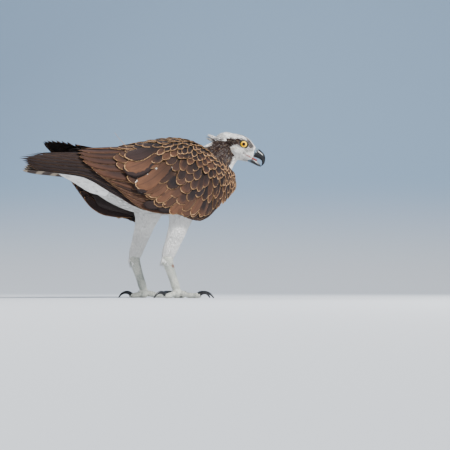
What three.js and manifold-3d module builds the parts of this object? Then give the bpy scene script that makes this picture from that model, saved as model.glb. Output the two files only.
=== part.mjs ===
// Osprey standing with its body level and its head turned to its right, life size.
// Millimetres, +Z up. The bird faces +X and its left side is +Y.
// Every outline below is a row of stations, and everything that repeats is made in a loop from them.
import * as THREE from "three";
import { mergeVertices } from "three/addons/utils/BufferGeometryUtils.js";
import Module from "manifold-3d";

const wasm = await Module();
wasm.setup();

const { lerp, clamp, smoothstep, degToRad } = THREE.MathUtils;

// Driving dimensions
const FLOOR = 0;
const GAP = 0.35; // kept between neighbouring pieces
const WELD = 1e-3;
const VANE_THICK = 1.1;
const SEED = 8;

// Torso: x, top z, bottom z, half width
const TORSO = [
  [-172, 242, 220, 10],
  [-160, 252, 207, 23],
  [-130, 266, 188, 40],
  [-80, 281, 168, 57],
  [-20, 294, 157, 67],
  [30, 296, 159, 69],
  [75, 287, 172, 63],
  [108, 271, 196, 48],
  [126, 257, 217, 30],
  [133, 246, 230, 12],
];

// Outside of the folded wings, as a tent over the body: x, ridge z, lower edge z, half width
const TENT = [
  [-340, 252, 236, 26],
  [-300, 259, 229, 37],
  [-258, 263, 226, 45],
  [-205, 269, 222, 54],
  [-174, 273, 210, 60],
  [-143, 278, 196, 66],
  [-113, 283, 179, 73],
  [-80, 289, 166, 79],
  [-33, 300, 159, 85],
  [19, 309, 151, 88],
  [57, 308, 158, 88],
  [85, 300, 175, 87],
  [104, 289, 188, 85],
  [125, 283, 205, 80],
  [140, 272, 216, 76],
];
const TENT_WIDE = 0.75; // under 1 makes the shoulders of the tent fuller
const TENT_TUCK = 0.06; // how far the lower edge turns in, as a share of the half width
const FAR_WING_SHIFT = -34; // the left wing's tip crosses over the tail
const FAR_WING_RISE = 24;
const SWEEP_FROM = -120;
const SWEEP_TO = -290;

// Front edge of a folded wing: share of the way down the tent, x
const WING_FRONT = [
  [0.0, 74],
  [0.2, 90],
  [0.4, 108],
  [0.62, 124],
  [0.85, 132],
  [1.0, 122],
];

// Head, in its own frame: origin between the eyes, +X to the bill, +Z to the crown
const HEAD_AT = new THREE.Vector3(201, -30, 307);
const HEAD_YAW = -55;
const HEAD_PITCH = 20;
// x, crown z, throat z, half width
const HEAD = [
  [-60, -6, -20, 8],
  [-55, 2, -29, 17],
  [-42, 10.5, -36, 24],
  [-24, 16, -37, 26.5],
  [-8, 17.5, -34, 25.5],
  [5, 14, -32, 22],
  [15, 8, -30.5, 16.5],
  [22, 2.8, -28, 12.5],
  [26, 0.5, -26, 10.5],
];
const EYE_RADIUS = 8.6;
const EYE_AT = new THREE.Vector3(0.5, 14.6, 0);

// Upper bill along its length: x, culmen z, cutting edge z, half width
const BILL_UPPER = [
  [14, 0, -16.2, 9],
  [24, 2.2, -16.5, 9.6],
  [31, 1.4, -16.3, 8.6],
  [38, -1.4, -17, 7],
  [43.5, -4.6, -19.2, 5.6],
];
const BILL_HOOK = [
  // centre x, centre z, half thickness along the bill, half width
  [46.8, -17.5, 3.8, 3.6],
  [47.7, -23.0, 2.6, 2.4],
  [46.4, -28.8, 0.7, 0.7],
];
// Lower bill: x, upper edge z, lower edge z, half width
const BILL_LOWER = [
  [12, -19.2, -28.5, 8.4],
  [20, -20, -29.6, 8.2],
  [29, -21.6, -30.2, 6.8],
  [37, -24.2, -31.2, 5],
  [43.6, -27.4, -31, 2.8],
  [45.6, -29.2, -30.4, 1],
];

// Neck from the body to the back of the head: x, y, z, half width, half height
const NECK = [
  [88, 2, 240, 50, 48],
  [116, 3, 252, 48, 46],
  [139, 4, 266, 42, 41],
  [157, 3, 279, 36, 37],
  [171, 0, 289, 31, 33],
  [186, -8, 297, 24, 26],
];

// Tail feathers fan from one point under the rump
const TAIL = { rootX: -100, rootZ: 226, tipX: -286, tipZ: 243, spread: 27, pairs: 6, width: 25, centreY: 5 };

const LEGS = {
  right: { side: -1, hip: [18, -40, 205], knee: [12, -52, 150], ankle: [-25, -57, 74], foot: [-2, -58, 17] },
  left: { side: 1, hip: [14, 40, 205], knee: [12, 52, 152], ankle: [-12, 60, 77], foot: [12, 60, 17] },
};
// Share of the way from hip to ankle, half width, half depth of the feathered leg
const THIGH = [
  [0, 27, 40],
  [0.28, 25, 34],
  [0.5, 17, 23],
  [0.75, 12.5, 17.5],
  [0.93, 11.5, 14.5],
  [1, 9, 11.5],
];
const TOE_RADIUS = 5.2;
// Direction from straight ahead, outwards positive, length, number of pads
const TOES = [
  { name: "inner", turn: -34, length: 43, pads: 3 },
  { name: "middle", turn: 3, length: 52, pads: 4 },
  { name: "outer", turn: 62, length: 47, pads: 4 },
  { name: "hind", turn: 176, length: 33, pads: 2 },
];
const CLAW = { length: 27, radius: 4.1, bend: 118 };

// A repeatable stream of numbers from 0 to 1.
function stream(seed) {
  let state = seed * 7919 + 17;
  return () => {
    state = (state * 1664525 + 1013904223) % 4294967296;
    return state / 4294967296;
  };
}

// A smooth function through rows of stations: the first number of each row is where, the rest are what.
function through(rows) {
  const at = rows.map((row) => row[0]);
  const values = rows.flatMap((row) => row.slice(1));
  const curve = new THREE.CubicInterpolant(at, values, rows[0].length - 1);
  return (x) => Array.from(curve.evaluate(clamp(x, at[0], at[at.length - 1])));
}

// What make(share, i) gives for `count` shares evenly spaced between two ends.
function between(from, to, count, make) {
  return Array.from({ length: count }, (_, i) => make(lerp(from, to, count > 1 ? i / (count - 1) : 0), i));
}

// Welds a geometry by position, drops collapsed faces and turns it into a solid that faces out.
function solidOf(geometry) {
  const bare = new THREE.BufferGeometry();
  bare.setAttribute("position", geometry.getAttribute("position"));
  bare.setIndex(geometry.getIndex());
  const welded = mergeVertices(bare, WELD);
  const source = welded.getIndex().array;
  const faces = [];
  for (let i = 0; i < source.length; i += 3) {
    const [a, b, c] = source.slice(i, i + 3);
    if (a !== b && b !== c && c !== a) faces.push(a, b, c);
  }
  const build = (order) =>
    new wasm.Manifold(
      new wasm.Mesh({
        numProp: 3,
        vertProperties: new Float32Array(welded.getAttribute("position").array),
        triVerts: new Uint32Array(order),
      }),
    );
  const made = build(faces);
  if (made.volume() > 0) return made;
  for (let i = 0; i < faces.length; i += 3) [faces[i + 1], faces[i + 2]] = [faces[i + 2], faces[i + 1]];
  return build(faces);
}

// A closed tube: a cylinder whose wall and caps are carried to place(along, angle, radius).
function tube(around, along, place) {
  const geometry = new THREE.CylinderGeometry(1, 1, 1, around, along);
  const position = geometry.getAttribute("position");
  for (let i = 0; i < position.count; i++) {
    const x = position.getX(i);
    const z = position.getZ(i);
    const p = place(0.5 - position.getY(i), Math.atan2(x, z), Math.hypot(x, z));
    position.setXYZ(i, p.x, p.y, p.z);
  }
  return geometry;
}

// A closed thin plate: one grid and its rim, with triangles alike on both faces.
// place(u, v, side) has u from -1 to 1 across, v from 0 to 1 along, and side 1 above or -1 below.
function plate(across, along, place) {
  const grid = new THREE.PlaneGeometry(2, 1, across, along);
  const flat = grid.getAttribute("position");
  const count = flat.count;
  const points = [];
  for (const side of [1, -1]) {
    for (let i = 0; i < count; i++) points.push(...place(flat.getX(i), 0.5 - flat.getY(i), side).toArray());
  }
  const above = Array.from(grid.getIndex().array);
  const faces = [...above];
  for (let i = 0; i < above.length; i += 3) faces.push(above[i] + count, above[i + 2] + count, above[i + 1] + count);
  const row = across + 1;
  const rim = [];
  for (let i = 0; i < across; i++) rim.push(i);
  for (let j = 0; j < along; j++) rim.push(j * row + across);
  for (let i = across; i > 0; i--) rim.push(along * row + i);
  for (let j = along; j > 0; j--) rim.push(j * row);
  rim.forEach((a, i) => {
    const b = rim[(i + 1) % rim.length];
    faces.push(a, b, b + count, a, b + count, a + count);
  });
  const geometry = new THREE.BufferGeometry();
  geometry.setAttribute("position", new THREE.Float32BufferAttribute(points, 3));
  geometry.setIndex(faces);
  return geometry;
}

// Joins solids and keeps the largest closed surface, which also fills any hollow that the joining sealed.
function joined(solids) {
  const whole = solids.length > 1 ? wasm.Manifold.union(solids) : solids[0];
  return largest(whole);
}

function largest(solid) {
  return solid.decompose().reduce((best, next) => (next.volume() > best.volume() ? next : best));
}

function without(solid, ...cutters) {
  return largest(cutters.reduce((rest, cutter) => rest.subtract(cutter), solid));
}

// Point of a rounded section: angle 0 at the top, growing towards -Y, with squareness above 1 fuller.
function sectionPoint(x, top, bottom, half, angle, radius, grow, fuller = 1) {
  const soft = (value) => Math.sign(value) * Math.abs(value) ** (1 / fuller);
  const middle = (top + bottom) / 2;
  const high = (top - bottom) / 2 + grow;
  return new THREE.Vector3(
    x,
    -soft(Math.sin(angle)) * (half + grow) * radius,
    middle + soft(Math.cos(angle)) * high * radius,
  );
}

// A body lofted along X through stations of x, top, bottom and half width.
function bodyLoft(rows, around, along, grow = 0, fuller = 1) {
  const at = through(rows);
  const from = rows[0][0] - grow;
  const to = rows[rows.length - 1][0] + grow;
  return tube(around, along, (share, angle, radius) => {
    const eased = 0.5 - 0.5 * Math.cos(Math.PI * share);
    const x = lerp(from, to, lerp(share, eased, 0.6));
    const [top, bottom, half] = at(x);
    return sectionPoint(x, top, bottom, half, angle, radius, grow, fuller);
  });
}

// A tube along rows of x, y, z, half width and half depth. Its depth lies in the plane of the path and `up`.
function limb(rows, around, along, grow = 0, up = new THREE.Vector3(0, 0, 1), bulge = () => 1) {
  const path = new THREE.CatmullRomCurve3(rows.map((row) => new THREE.Vector3(...row.slice(0, 3))));
  const sizes = through(rows.map((row, i) => [i / (rows.length - 1), row[3], row[4]]));
  return tube(around, along, (share, angle, radius) => {
    const centre = path.getPoint(share);
    const ahead = path.getTangent(share);
    const side = new THREE.Vector3().crossVectors(up, ahead).normalize();
    const over = new THREE.Vector3().crossVectors(ahead, side);
    const [wide, deep] = sizes(share);
    const scale = bulge(share) * radius;
    const beyond = share < 0.001 ? -grow : share > 0.999 ? grow : 0;
    return centre
      .addScaledVector(ahead, beyond)
      .addScaledVector(side, Math.sin(angle) * (wide + grow) * scale)
      .addScaledVector(over, Math.cos(angle) * (deep + grow) * scale);
  });
}

// Torso
const torsoCutter = solidOf(bodyLoft(TORSO, 16, 11, 2 * GAP, 1.12));

// Wings: everything on them is placed by x and by t, from 0 at the ridge of the tent to 1 at its lower edge.
const tentAt = through(TENT);
const wingFrontAt = through(WING_FRONT);

function sweepOf(x) {
  return smoothstep(-x, -SWEEP_FROM, -SWEEP_TO);
}

function tentPoint(side, x, t) {
  const [ridge, edge, half] = tentAt(x);
  const angle = (Math.PI / 2) * clamp(t, 0, 1.2);
  const away = Math.abs(Math.sin(angle)) ** TENT_WIDE * (1 - TENT_TUCK * t ** 3);
  const sweep = side > 0 ? sweepOf(x) : 0;
  return new THREE.Vector3(
    x,
    side * half * away + sweep * FAR_WING_SHIFT,
    lerp(edge, ridge, Math.cos(angle)) + sweep * FAR_WING_RISE,
  );
}

// Point and outward normal of the tent, with how far the point moves for each unit of x and of t.
function tentFrame(side, x, t) {
  const point = tentPoint(side, x, t);
  const stepX = 1;
  const stepT = 0.02;
  const alongX = tentPoint(side, x + stepX, t).sub(point).divideScalar(stepX);
  const alongT = tentPoint(side, x, t + stepT).sub(tentPoint(side, x, t - stepT)).divideScalar(2 * stepT);
  const normal = new THREE.Vector3().crossVectors(alongX, alongT).normalize();
  if (normal.y * side < 0 && normal.z < 0.3) normal.negate();
  if (normal.z < -0.6) normal.negate();
  if (t < 0.5 && normal.z < 0) normal.negate();
  return { point, normal, alongX, alongT };
}

const VANE_SHAPE = through([
  [0, 0.5],
  [0.25, 0.86],
  [0.55, 1],
  [0.82, 0.92],
  [1, 0.5],
]);

// Stations along a vane, from root to tip
const LONG_VANE = [0, 0.5, 0.86, 1];
const SHORT_VANE = [0, 0.62, 1];

// One feather on the tent, from root to tip. lift is how far it stands off the tent at its root and its tip,
// and roll raises its lower edge over its neighbour.
function wingVane(side, feather) {
  const { root, tip, width, lift, roll, bow = 0, stations = SHORT_VANE, tipLong = 0.3 } = feather;
  const last = stations.length - 1;
  const centreAt = (v) => [lerp(root[0], tip[0], v), lerp(root[1], tip[1], v) + bow * Math.sin(Math.PI * v)];
  return solidOf(
    plate(2, last, (u, row, face) => {
      const v = stations[Math.round(row * last)];
      const [x, t] = centreAt(v);
      const { normal, alongX, alongT } = tentFrame(side, x, t);
      const before = tentPoint(side, ...centreAt(v - 0.03));
      const ahead = tentPoint(side, ...centreAt(v + 0.03)).sub(before).normalize();
      const down = new THREE.Vector3().crossVectors(normal, ahead).normalize();
      if (down.dot(alongT) < 0) down.negate();
      const half = (width / 2) * VANE_SHAPE(v)[0];
      const push = v === 1 ? (1 - Math.abs(u)) * tipLong * width : 0;
      const offset = down.multiplyScalar(u * half).addScaledVector(ahead, push);
      const x2 = x + offset.dot(alongX) / alongX.lengthSq();
      const t2 = clamp(t + offset.dot(alongT) / alongT.lengthSq(), 0.012, 1.12);
      const thick = VANE_THICK * (v === 1 ? 0.6 : 1);
      const rise = lerp(lift[0], lift[1], Math.min(1, v * 1.2)) + u * roll * Math.min(1, v * 2) + (face * thick) / 2;
      return tentPoint(side, x2, t2).addScaledVector(tentFrame(side, x2, t2).normal, rise);
    }),
  );
}

// The muscle and bone of the folded wing, as a curved pad that all its feathers grow from.
function wingPad(side) {
  const columns = 8;
  const rows = 8;
  return solidOf(
    plate(columns, rows, (u, v, face) => {
      const t = lerp(0.035, 0.985, (u + 1) / 2);
      const front = wingFrontAt(t)[0];
      const back = lerp(-64, -46, smoothstep(t, 0.45, 1));
      const x = lerp(front, back, v);
      const { point, normal } = tentFrame(side, x, t);
      const edge = Math.min(1, 4.2 * v + 0.12, 4 * (1 - v) + 0.3, 5 * (1 - Math.abs(u)) + 0.25);
      const thick = lerp(12.5, 8, v) * edge;
      return point.addScaledVector(normal, face > 0 ? -1.8 * edge : -1.8 - thick);
    }),
  );
}

// Tips of the primaries from the innermost to the outermost, which runs along the lower edge: x, t
const PRIMARY_TIPS = {
  right: [[-274, 0.14], [-296, 0.12], [-316, 0.2], [-322, 0.4], [-310, 0.62], [-294, 0.84]],
  left: [[-228, 0.1], [-244, 0.14], [-260, 0.22], [-262, 0.34], [-250, 0.47], [-236, 0.6]],
};

// Rows of covering feathers: how many, x and t of the first and last root, how far the first and last reach
// back and down, and their widths
const COVERTS = [
  { count: 7, x: [84, -24], t: [0.81, 0.36], back: [46, 80], down: [0.12, 0.16], width: [26, 34], lift: [-4.6, 1.2] },
  { count: 6, x: [104, 12], t: [0.78, 0.26], back: [32, 50], down: [0.12, 0.16], width: [23, 29], lift: [-4.6, 2] },
  { count: 6, x: [122, 52], t: [0.73, 0.2], back: [24, 36], down: [0.13, 0.13], width: [20, 24], lift: [-4.6, 2.4] },
];

// Rows of feathers lying back along the ridge over the root of the wing
const SCAPULARS = [
  { count: 3, x: 60, t: [0.1, 0.28], back: 46, width: 21, lift: 2.6 },
  { count: 3, x: 24, t: [0.1, 0.3], back: 60, width: 25, lift: 2.2 },
  { count: 3, x: -18, t: [0.1, 0.4], back: 74, width: 30, lift: 1.8 },
];

function flightFeathers(side, vary) {
  const primaries = PRIMARY_TIPS[side < 0 ? "right" : "left"].map((tip, i, all) => {
    const share = i / (all.length - 1);
    return {
      root: [lerp(-26, -14, share), lerp(0.62, 0.93, share)],
      tip,
      width: lerp(29, 22, share),
      lift: [-7, lerp(-3.4, -4.6, share)],
      bow: 0.05,
      roll: 1.5,
      tipLong: 0.6,
      stations: LONG_VANE,
    };
  });
  const secondaries = between(0, 1, 6, (share) => ({
    root: [lerp(-28, -52, share), lerp(0.93, 0.42, share)],
    tip: [lerp(-134, -212, share) + vary(2), lerp(0.985, 0.44, share)],
    width: lerp(27, 36, share),
    lift: [-6.5, lerp(-2.4, -1, share)],
    roll: 1.6,
  }));
  const tertials = between(0, 1, 3, (share) => ({
    root: [lerp(-30, -46, share), lerp(0.48, 0.18, share)],
    tip: [lerp(-154, -206, share), lerp(0.56, 0.14, share)],
    width: lerp(38, 34, share),
    lift: [-5, lerp(0.4, 1.4, share)],
    roll: 1.5,
  }));
  return [...primaries, ...secondaries, ...tertials];
}

function coverFeathers(vary) {
  const coverts = COVERTS.flatMap((row) =>
    between(0, 1, row.count, (share) => {
      const x = lerp(...row.x, share);
      const t = lerp(...row.t, share);
      return {
        root: [x, t],
        tip: [x - lerp(...row.back, share) + vary(2), t + lerp(...row.down, share)],
        width: lerp(...row.width, share),
        lift: row.lift,
        roll: 1.3,
      };
    }),
  );
  const scapulars = SCAPULARS.flatMap((row) =>
    between(0, 1, row.count, (share) => {
      const t = lerp(...row.t, share);
      return {
        root: [row.x - 10 * share, t],
        tip: [row.x - row.back - 8 * share + vary(2), t + 0.01 + 0.09 * share],
        width: row.width,
        lift: [-4.6, row.lift],
        roll: 1.2,
      };
    }),
  );
  return [...coverts, ...scapulars];
}

function wing(side) {
  const random = stream(SEED + side);
  const vary = (size) => (random() - 0.5) * 2 * size;
  const vanes = [...flightFeathers(side, vary), ...coverFeathers(vary)].map((feather) => wingVane(side, feather));
  return without(joined([wingPad(side), ...vanes]), torsoCutter);
}

// Tail: a core under the rump, then pairs of feathers from the outermost below to the middle pair on top
const TAIL_CORE = [
  [-225, 236, 228, 12],
  [-212, 240, 221, 24],
  [-185, 245, 211, 32],
  [-165, 248, 202, 34],
  [-148, 250, 198, 32],
];
const TAIL_VANE_SHAPE = through([
  [0, 0.4],
  [0.5, 0.86],
  [0.86, 1],
  [1, 0.62],
]);

function tailVane(offset, layer) {
  const share = Math.abs(offset);
  const rootY = TAIL.centreY * 0.3 + offset * 9;
  const tipY = TAIL.centreY + offset * TAIL.spread;
  const drop = 2.1 * layer;
  return solidOf(
    plate(2, 3, (u, row, face) => {
      const v = LONG_VANE[Math.round(row * 3)];
      const half = (TAIL.width / 2) * TAIL_VANE_SHAPE(v)[0];
      const push = v === 1 ? (1 - Math.abs(u)) * 6 : 0;
      const x = lerp(TAIL.rootX, TAIL.tipX + 4 * share, v) - push;
      const y = lerp(rootY, tipY, v) + u * half;
      const sag = -3.4 * (y / 34) ** 2;
      const z = lerp(TAIL.rootZ, TAIL.tipZ, v) - drop * Math.min(1, v * 2) + sag + (face * VANE_THICK) / 2;
      return new THREE.Vector3(x, y, z);
    }),
  );
}

function tail() {
  const core = solidOf(bodyLoft(TAIL_CORE, 12, 5));
  const vanes = [];
  for (let pair = 0; pair < TAIL.pairs; pair++) {
    const offset = (pair + 0.5) / (TAIL.pairs - 0.5);
    vanes.push(tailVane(offset, pair), tailVane(-offset, pair));
  }
  return joined([core, ...vanes]);
}

// Head
const headMatrix = new THREE.Matrix4()
  .makeTranslation(HEAD_AT)
  .multiply(new THREE.Matrix4().makeRotationZ(degToRad(HEAD_YAW)))
  .multiply(new THREE.Matrix4().makeRotationY(degToRad(HEAD_PITCH)));

function inHeadFrame(geometry) {
  return solidOf(geometry.applyMatrix4(headMatrix));
}

const headAt = through(HEAD);

// A swelling of the head round one place: the angle from the crown and x, and how wide it is in each.
function swelling(angle, x, at, size) {
  return Math.exp(-(((Math.abs(angle) - at[0]) / size[0]) ** 2) - ((x - at[1]) / size[1]) ** 2);
}

// The head's section, swollen at the brow and cheek and hollowed round the eye.
function headPoint(x, angle, radius, grow) {
  const [top, bottom, half] = headAt(x);
  const brow = 1.8 * swelling(angle, x, [0.86, 3], [0.24, 13]);
  const cheek = 2.2 * swelling(angle, x, [2.0, -8], [0.5, 16]);
  const orbit = 4.2 * swelling(angle, x, [1.26, 1], [0.36, 9]);
  return sectionPoint(x, top, bottom, half, angle, radius, grow + (brow + cheek - orbit) * radius, 1.08);
}

function headLoft(grow) {
  const from = HEAD[0][0] - grow;
  const to = HEAD[HEAD.length - 1][0] + grow;
  return tube(18, 11, (share, angle, radius) =>
    headPoint(lerp(from, to, 0.5 - 0.5 * Math.cos(Math.PI * share)), angle, radius, grow),
  );
}

function eyeball(side, radius) {
  const geometry = new THREE.SphereGeometry(radius, 12, 8);
  geometry.rotateX(Math.PI / 2);
  geometry.translate(EYE_AT.x, side * EYE_AT.y, EYE_AT.z);
  return inHeadFrame(geometry);
}

// Upper and lower lids: two arcs round the eye, thicker over it, where the brow shelters it.
function lid(side, upper) {
  const arc = upper ? [0.06, 0.94] : [1.08, 1.92];
  const rows = Array.from({ length: 7 }, (_, i) => {
    const angle = Math.PI * lerp(arc[0], arc[1], i / 6);
    const ring = EYE_RADIUS * 0.86;
    return [
      EYE_AT.x + ring * Math.cos(angle),
      side * (EYE_AT.y + (upper ? 5.6 : 4.6)),
      EYE_AT.z + ring * Math.sin(angle) * (upper ? 0.94 : 1),
      upper ? 1.7 : 1.1,
      upper ? 2.6 : 2.2,
    ];
  });
  return inHeadFrame(limb(rows, 5, 6, 0, new THREE.Vector3(0, 1, 0)));
}

// The short ragged crest of the nape: tapered locks that lie back and down along the neck
function napeLock(angle, x, long, width) {
  const base = headPoint(x, angle, 0.93, 0);
  const out = headPoint(x, angle, 1.06, 0).sub(base).normalize();
  const back = new THREE.Vector3(-1, 0, -0.3).normalize();
  const side = new THREE.Vector3().crossVectors(out, back).normalize();
  return inHeadFrame(
    plate(1, 2, (u, v, face) =>
      base
        .clone()
        .addScaledVector(back, long * v)
        .addScaledVector(out, 1.5 + 3.4 * Math.sin(Math.PI * 0.62 * v) + face * lerp(0.9, 0.35, v))
        .addScaledVector(side, (u * width * lerp(1, 0.12, v ** 1.6)) / 2),
    ),
  );
}

function napeCrest() {
  const random = stream(SEED + 11);
  const locks = [];
  [
    [-34, 5, 27],
    [-45, 5, 25],
    [-53, 4, 20],
  ].forEach(([x, count, long]) =>
    between(0, 1, count, (share) => {
      const angle = lerp(-1.15, 1.15, share) + (random() - 0.5) * 0.12;
      locks.push(napeLock(angle, x, long * lerp(0.85, 1.15, random()), 9.5));
    }),
  );
  return locks;
}

// A closed loft of a bill half: stations of x, upper z, lower z and half width, with an optional hook
function billLoft(rows, hook, around, along, grow, keel) {
  const straight = rows.map(([x, top, bottom, half]) => ({
    centre: new THREE.Vector3(x, 0, (top + bottom) / 2),
    up: new THREE.Vector3(0, 0, 1),
    high: (top - bottom) / 2,
    half,
  }));
  const turned = hook.map(([x, z, high, half], i) => {
    const lean = lerp(0.75, 1.45, i / Math.max(1, hook.length - 1));
    return {
      centre: new THREE.Vector3(x, 0, z),
      up: new THREE.Vector3(Math.sin(lean), 0, Math.cos(lean)),
      high,
      half,
    };
  });
  const all = [...straight, ...turned];
  const path = new THREE.CatmullRomCurve3(all.map((s) => s.centre));
  const at = through(all.map((s, i) => [i / (all.length - 1), s.up.x, s.up.z, s.high, s.half]));
  return tube(around, along, (share, angle, radius) => {
    const [upX, upZ, high, half] = at(share);
    const over = new THREE.Vector3(upX, 0, upZ).normalize();
    const lift = Math.cos(angle);
    const narrow = keel > 0 ? 1 - keel * Math.max(0, lift) ** 2 : 1;
    return path
      .getPoint(share)
      .addScaledVector(over, lift * (high + grow) * radius)
      .add(new THREE.Vector3(0, -Math.sin(angle) * (half + grow) * radius * narrow, 0));
  });
}

// Wedge of the open mouth, running into the face as far as the gape
function mouthWedge() {
  const gape = 9;
  return inHeadFrame(
    plate(1, 1, (u, v, face) => {
      const x = lerp(gape, 60, v);
      const z = face > 0 ? lerp(-16.6, -16.3, v) : lerp(-17.3, -31, v);
      return new THREE.Vector3(x, u * 24, z);
    }),
  );
}

function nostril(side) {
  const slit = new THREE.SphereGeometry(1, 8, 6);
  slit.scale(2.6, 1.6, 1.2);
  slit.rotateY(0.5);
  slit.translate(28.5, side * 7.6, -4.6);
  return inHeadFrame(slit);
}

const neckCutter = solidOf(limb(NECK, 14, 8, GAP));
const headCutter = inHeadFrame(headLoft(GAP));
const mouth = mouthWedge();
const upperBill = without(
  inHeadFrame(billLoft(BILL_UPPER, BILL_HOOK, 10, 12, 0, 0.25)),
  headCutter,
  nostril(1),
  nostril(-1),
);
const lowerBill = without(inHeadFrame(billLoft(BILL_LOWER, [], 8, 6, 0, 0)), headCutter, upperBill);
const nape = neckCutter.subtract(inHeadFrame(headLoft(0)));
const head = without(
  joined([
    without(inHeadFrame(headLoft(0)), mouth),
    ...[1, -1].flatMap((side) => [lid(side, true), lid(side, false)]),
    ...napeCrest(),
  ]),
  eyeball(1, EYE_RADIUS + GAP),
  eyeball(-1, EYE_RADIUS + GAP),
  nape,
);

// Legs
function legRows(leg) {
  const path = new THREE.CatmullRomCurve3([leg.hip, leg.knee, leg.ankle].map((p) => new THREE.Vector3(...p)));
  return THIGH.map(([share, wide, deep]) => [...path.getPoint(share).toArray(), wide, deep]);
}

const FORWARD = new THREE.Vector3(1, 0, 0);

function thigh(leg) {
  return solidOf(limb(legRows(leg), 12, 8, 0, FORWARD));
}

function tarsusRows(leg) {
  const [ankle, foot] = [leg.ankle, leg.foot].map((p) => new THREE.Vector3(...p));
  const at = (share, wide, deep) => [...ankle.clone().lerp(foot, share).toArray(), wide, deep];
  return [at(-0.1, 7, 8), at(0.02, 10, 12), at(0.2, 8.4, 10.4), at(0.6, 7, 8.6), at(0.88, 7.6, 8.4), at(1.02, 6.5, 7.2)];
}

const thighCutters = Object.fromEntries(
  Object.entries(LEGS).map(([name, leg]) => [name, solidOf(limb(legRows(leg), 12, 8, GAP, FORWARD))]),
);

function tarsus(name, leg) {
  const shin = solidOf(limb(tarsusRows(leg), 8, 6, 0, FORWARD));
  return without(shin, thighCutters[name]);
}

// A toe leaves the foot above the floor, arches a little and lies flat to its last pad.
function toeRows(leg, toe) {
  const turn = degToRad(toe.turn) * leg.side;
  const heading = new THREE.Vector3(Math.cos(turn), Math.sin(turn), 0);
  const start = new THREE.Vector3(leg.foot[0] + 2, leg.foot[1], 0);
  const at = (reach, z, r) => [...start.clone().addScaledVector(heading, reach).setZ(z).toArray(), r, r * 0.96];
  return [
    at(0, 9.5, 6.6),
    at(toe.length * 0.25, 8, TOE_RADIUS * 1.08),
    at(toe.length * 0.6, 4.6, TOE_RADIUS),
    at(toe.length * 0.85, 4.5, TOE_RADIUS * 0.98),
    at(toe.length, 5.2, TOE_RADIUS * 0.82),
  ];
}

function padBulge(pads) {
  return (share) => 1 + 0.09 * Math.cos(2 * Math.PI * pads * share) * smoothstep(share, 0.1, 0.3);
}

const floorSlab = solidOf(new THREE.BoxGeometry(900, 600, 40).translate(0, 0, FLOOR - 20));

function foot(name, leg, shin) {
  const hub = new THREE.SphereGeometry(10, 10, 6);
  hub.scale(1, 0.95, 1.05);
  hub.translate(leg.foot[0] + 1, leg.foot[1], 9.5);
  const toes = TOES.map((toe) => solidOf(limb(toeRows(leg, toe), 8, 6, 0, undefined, padBulge(toe.pads))));
  return without(joined([solidOf(hub), ...toes]), floorSlab, shin);
}

// A claw springs from the end of its toe and bends down to the floor on an arc.
function clawRows(leg, toe, grow = 0) {
  const turn = degToRad(toe.turn) * leg.side;
  const heading = new THREE.Vector3(Math.cos(turn), Math.sin(turn), 0);
  const bend = degToRad(CLAW.bend);
  const radius = CLAW.length / bend;
  const start = new THREE.Vector3(leg.foot[0] + 2, leg.foot[1], 6.4).addScaledVector(heading, toe.length - 3);
  const lean = degToRad(38);
  return Array.from({ length: 7 }, (_, i) => {
    const turned = (bend * i) / 6;
    const reach = radius * (Math.sin(turned - lean) + Math.sin(lean)) * 1.5;
    const rise = radius * (Math.cos(turned - lean) - Math.cos(lean)) * 1.5;
    const thin = lerp(CLAW.radius, 0.6, (i / 6) ** 1.1) + grow;
    const p = start.clone().addScaledVector(heading, reach);
    return [p.x, p.y, p.z + rise, thin * 0.85, thin];
  });
}

function claw(leg, toe, footSolid) {
  return without(solidOf(limb(clawRows(leg, toe), 6, 5)), footSolid, floorSlab);
}

// Materials
function finish(colour, roughness) {
  return new THREE.MeshStandardMaterial({ color: colour, roughness, metalness: 0 });
}

const WHITE = finish(0xe9e4d8, 0.9);
const BROWN = finish(0x4a3426, 0.85);
const DARK = finish(0x33261f, 0.85);
const SKIN = finish(0xb9bdb0, 0.7);
const HORN = finish(0x15161a, 0.3);
const IRIS = finish(0xf2bf1b, 0.1);

// A solid grown outwards by the gap is taken from its neighbour, so that the two never touch.
function grownTube(rows, around, along, up, bulge) {
  return solidOf(limb(rows, around, along, GAP, up, bulge));
}

const group = new THREE.Group();
const solids = new Map();

function addNode(name, solid, material) {
  solids.set(name, solid);
  const mesh = solid.getMesh();
  const geometry = new THREE.BufferGeometry();
  geometry.setAttribute("position", new THREE.BufferAttribute(new Float32Array(mesh.vertProperties), 3));
  geometry.setIndex(new THREE.BufferAttribute(new Uint32Array(mesh.triVerts), 1));
  const node = new THREE.Mesh(geometry, material);
  node.name = name;
  group.add(node);
}

const thighs = Object.fromEntries(Object.entries(LEGS).map(([name, leg]) => [name, thigh(leg)]));
const neck = without(solidOf(limb(NECK, 14, 8)), torsoCutter, headCutter);
const torso = without(solidOf(bodyLoft(TORSO, 16, 11, 0, 1.12)), thighCutters.left, thighCutters.right);
const wings = { left: wing(1), right: wing(-1) };

addNode("torso", torso, WHITE);
addNode("neck", neck, WHITE);
addNode("head", without(head, upperBill, lowerBill), WHITE);
addNode("bill_upper", upperBill, HORN);
addNode("bill_lower", lowerBill, HORN);
addNode("eye_left", eyeball(1, EYE_RADIUS), IRIS);
addNode("eye_right", eyeball(-1, EYE_RADIUS), IRIS);
addNode("wing_left", without(wings.left, neckCutter, thighCutters.left), BROWN);
addNode("wing_right", without(wings.right, neckCutter, thighCutters.right), BROWN);
addNode("tail", without(tail(), torsoCutter), DARK);

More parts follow.
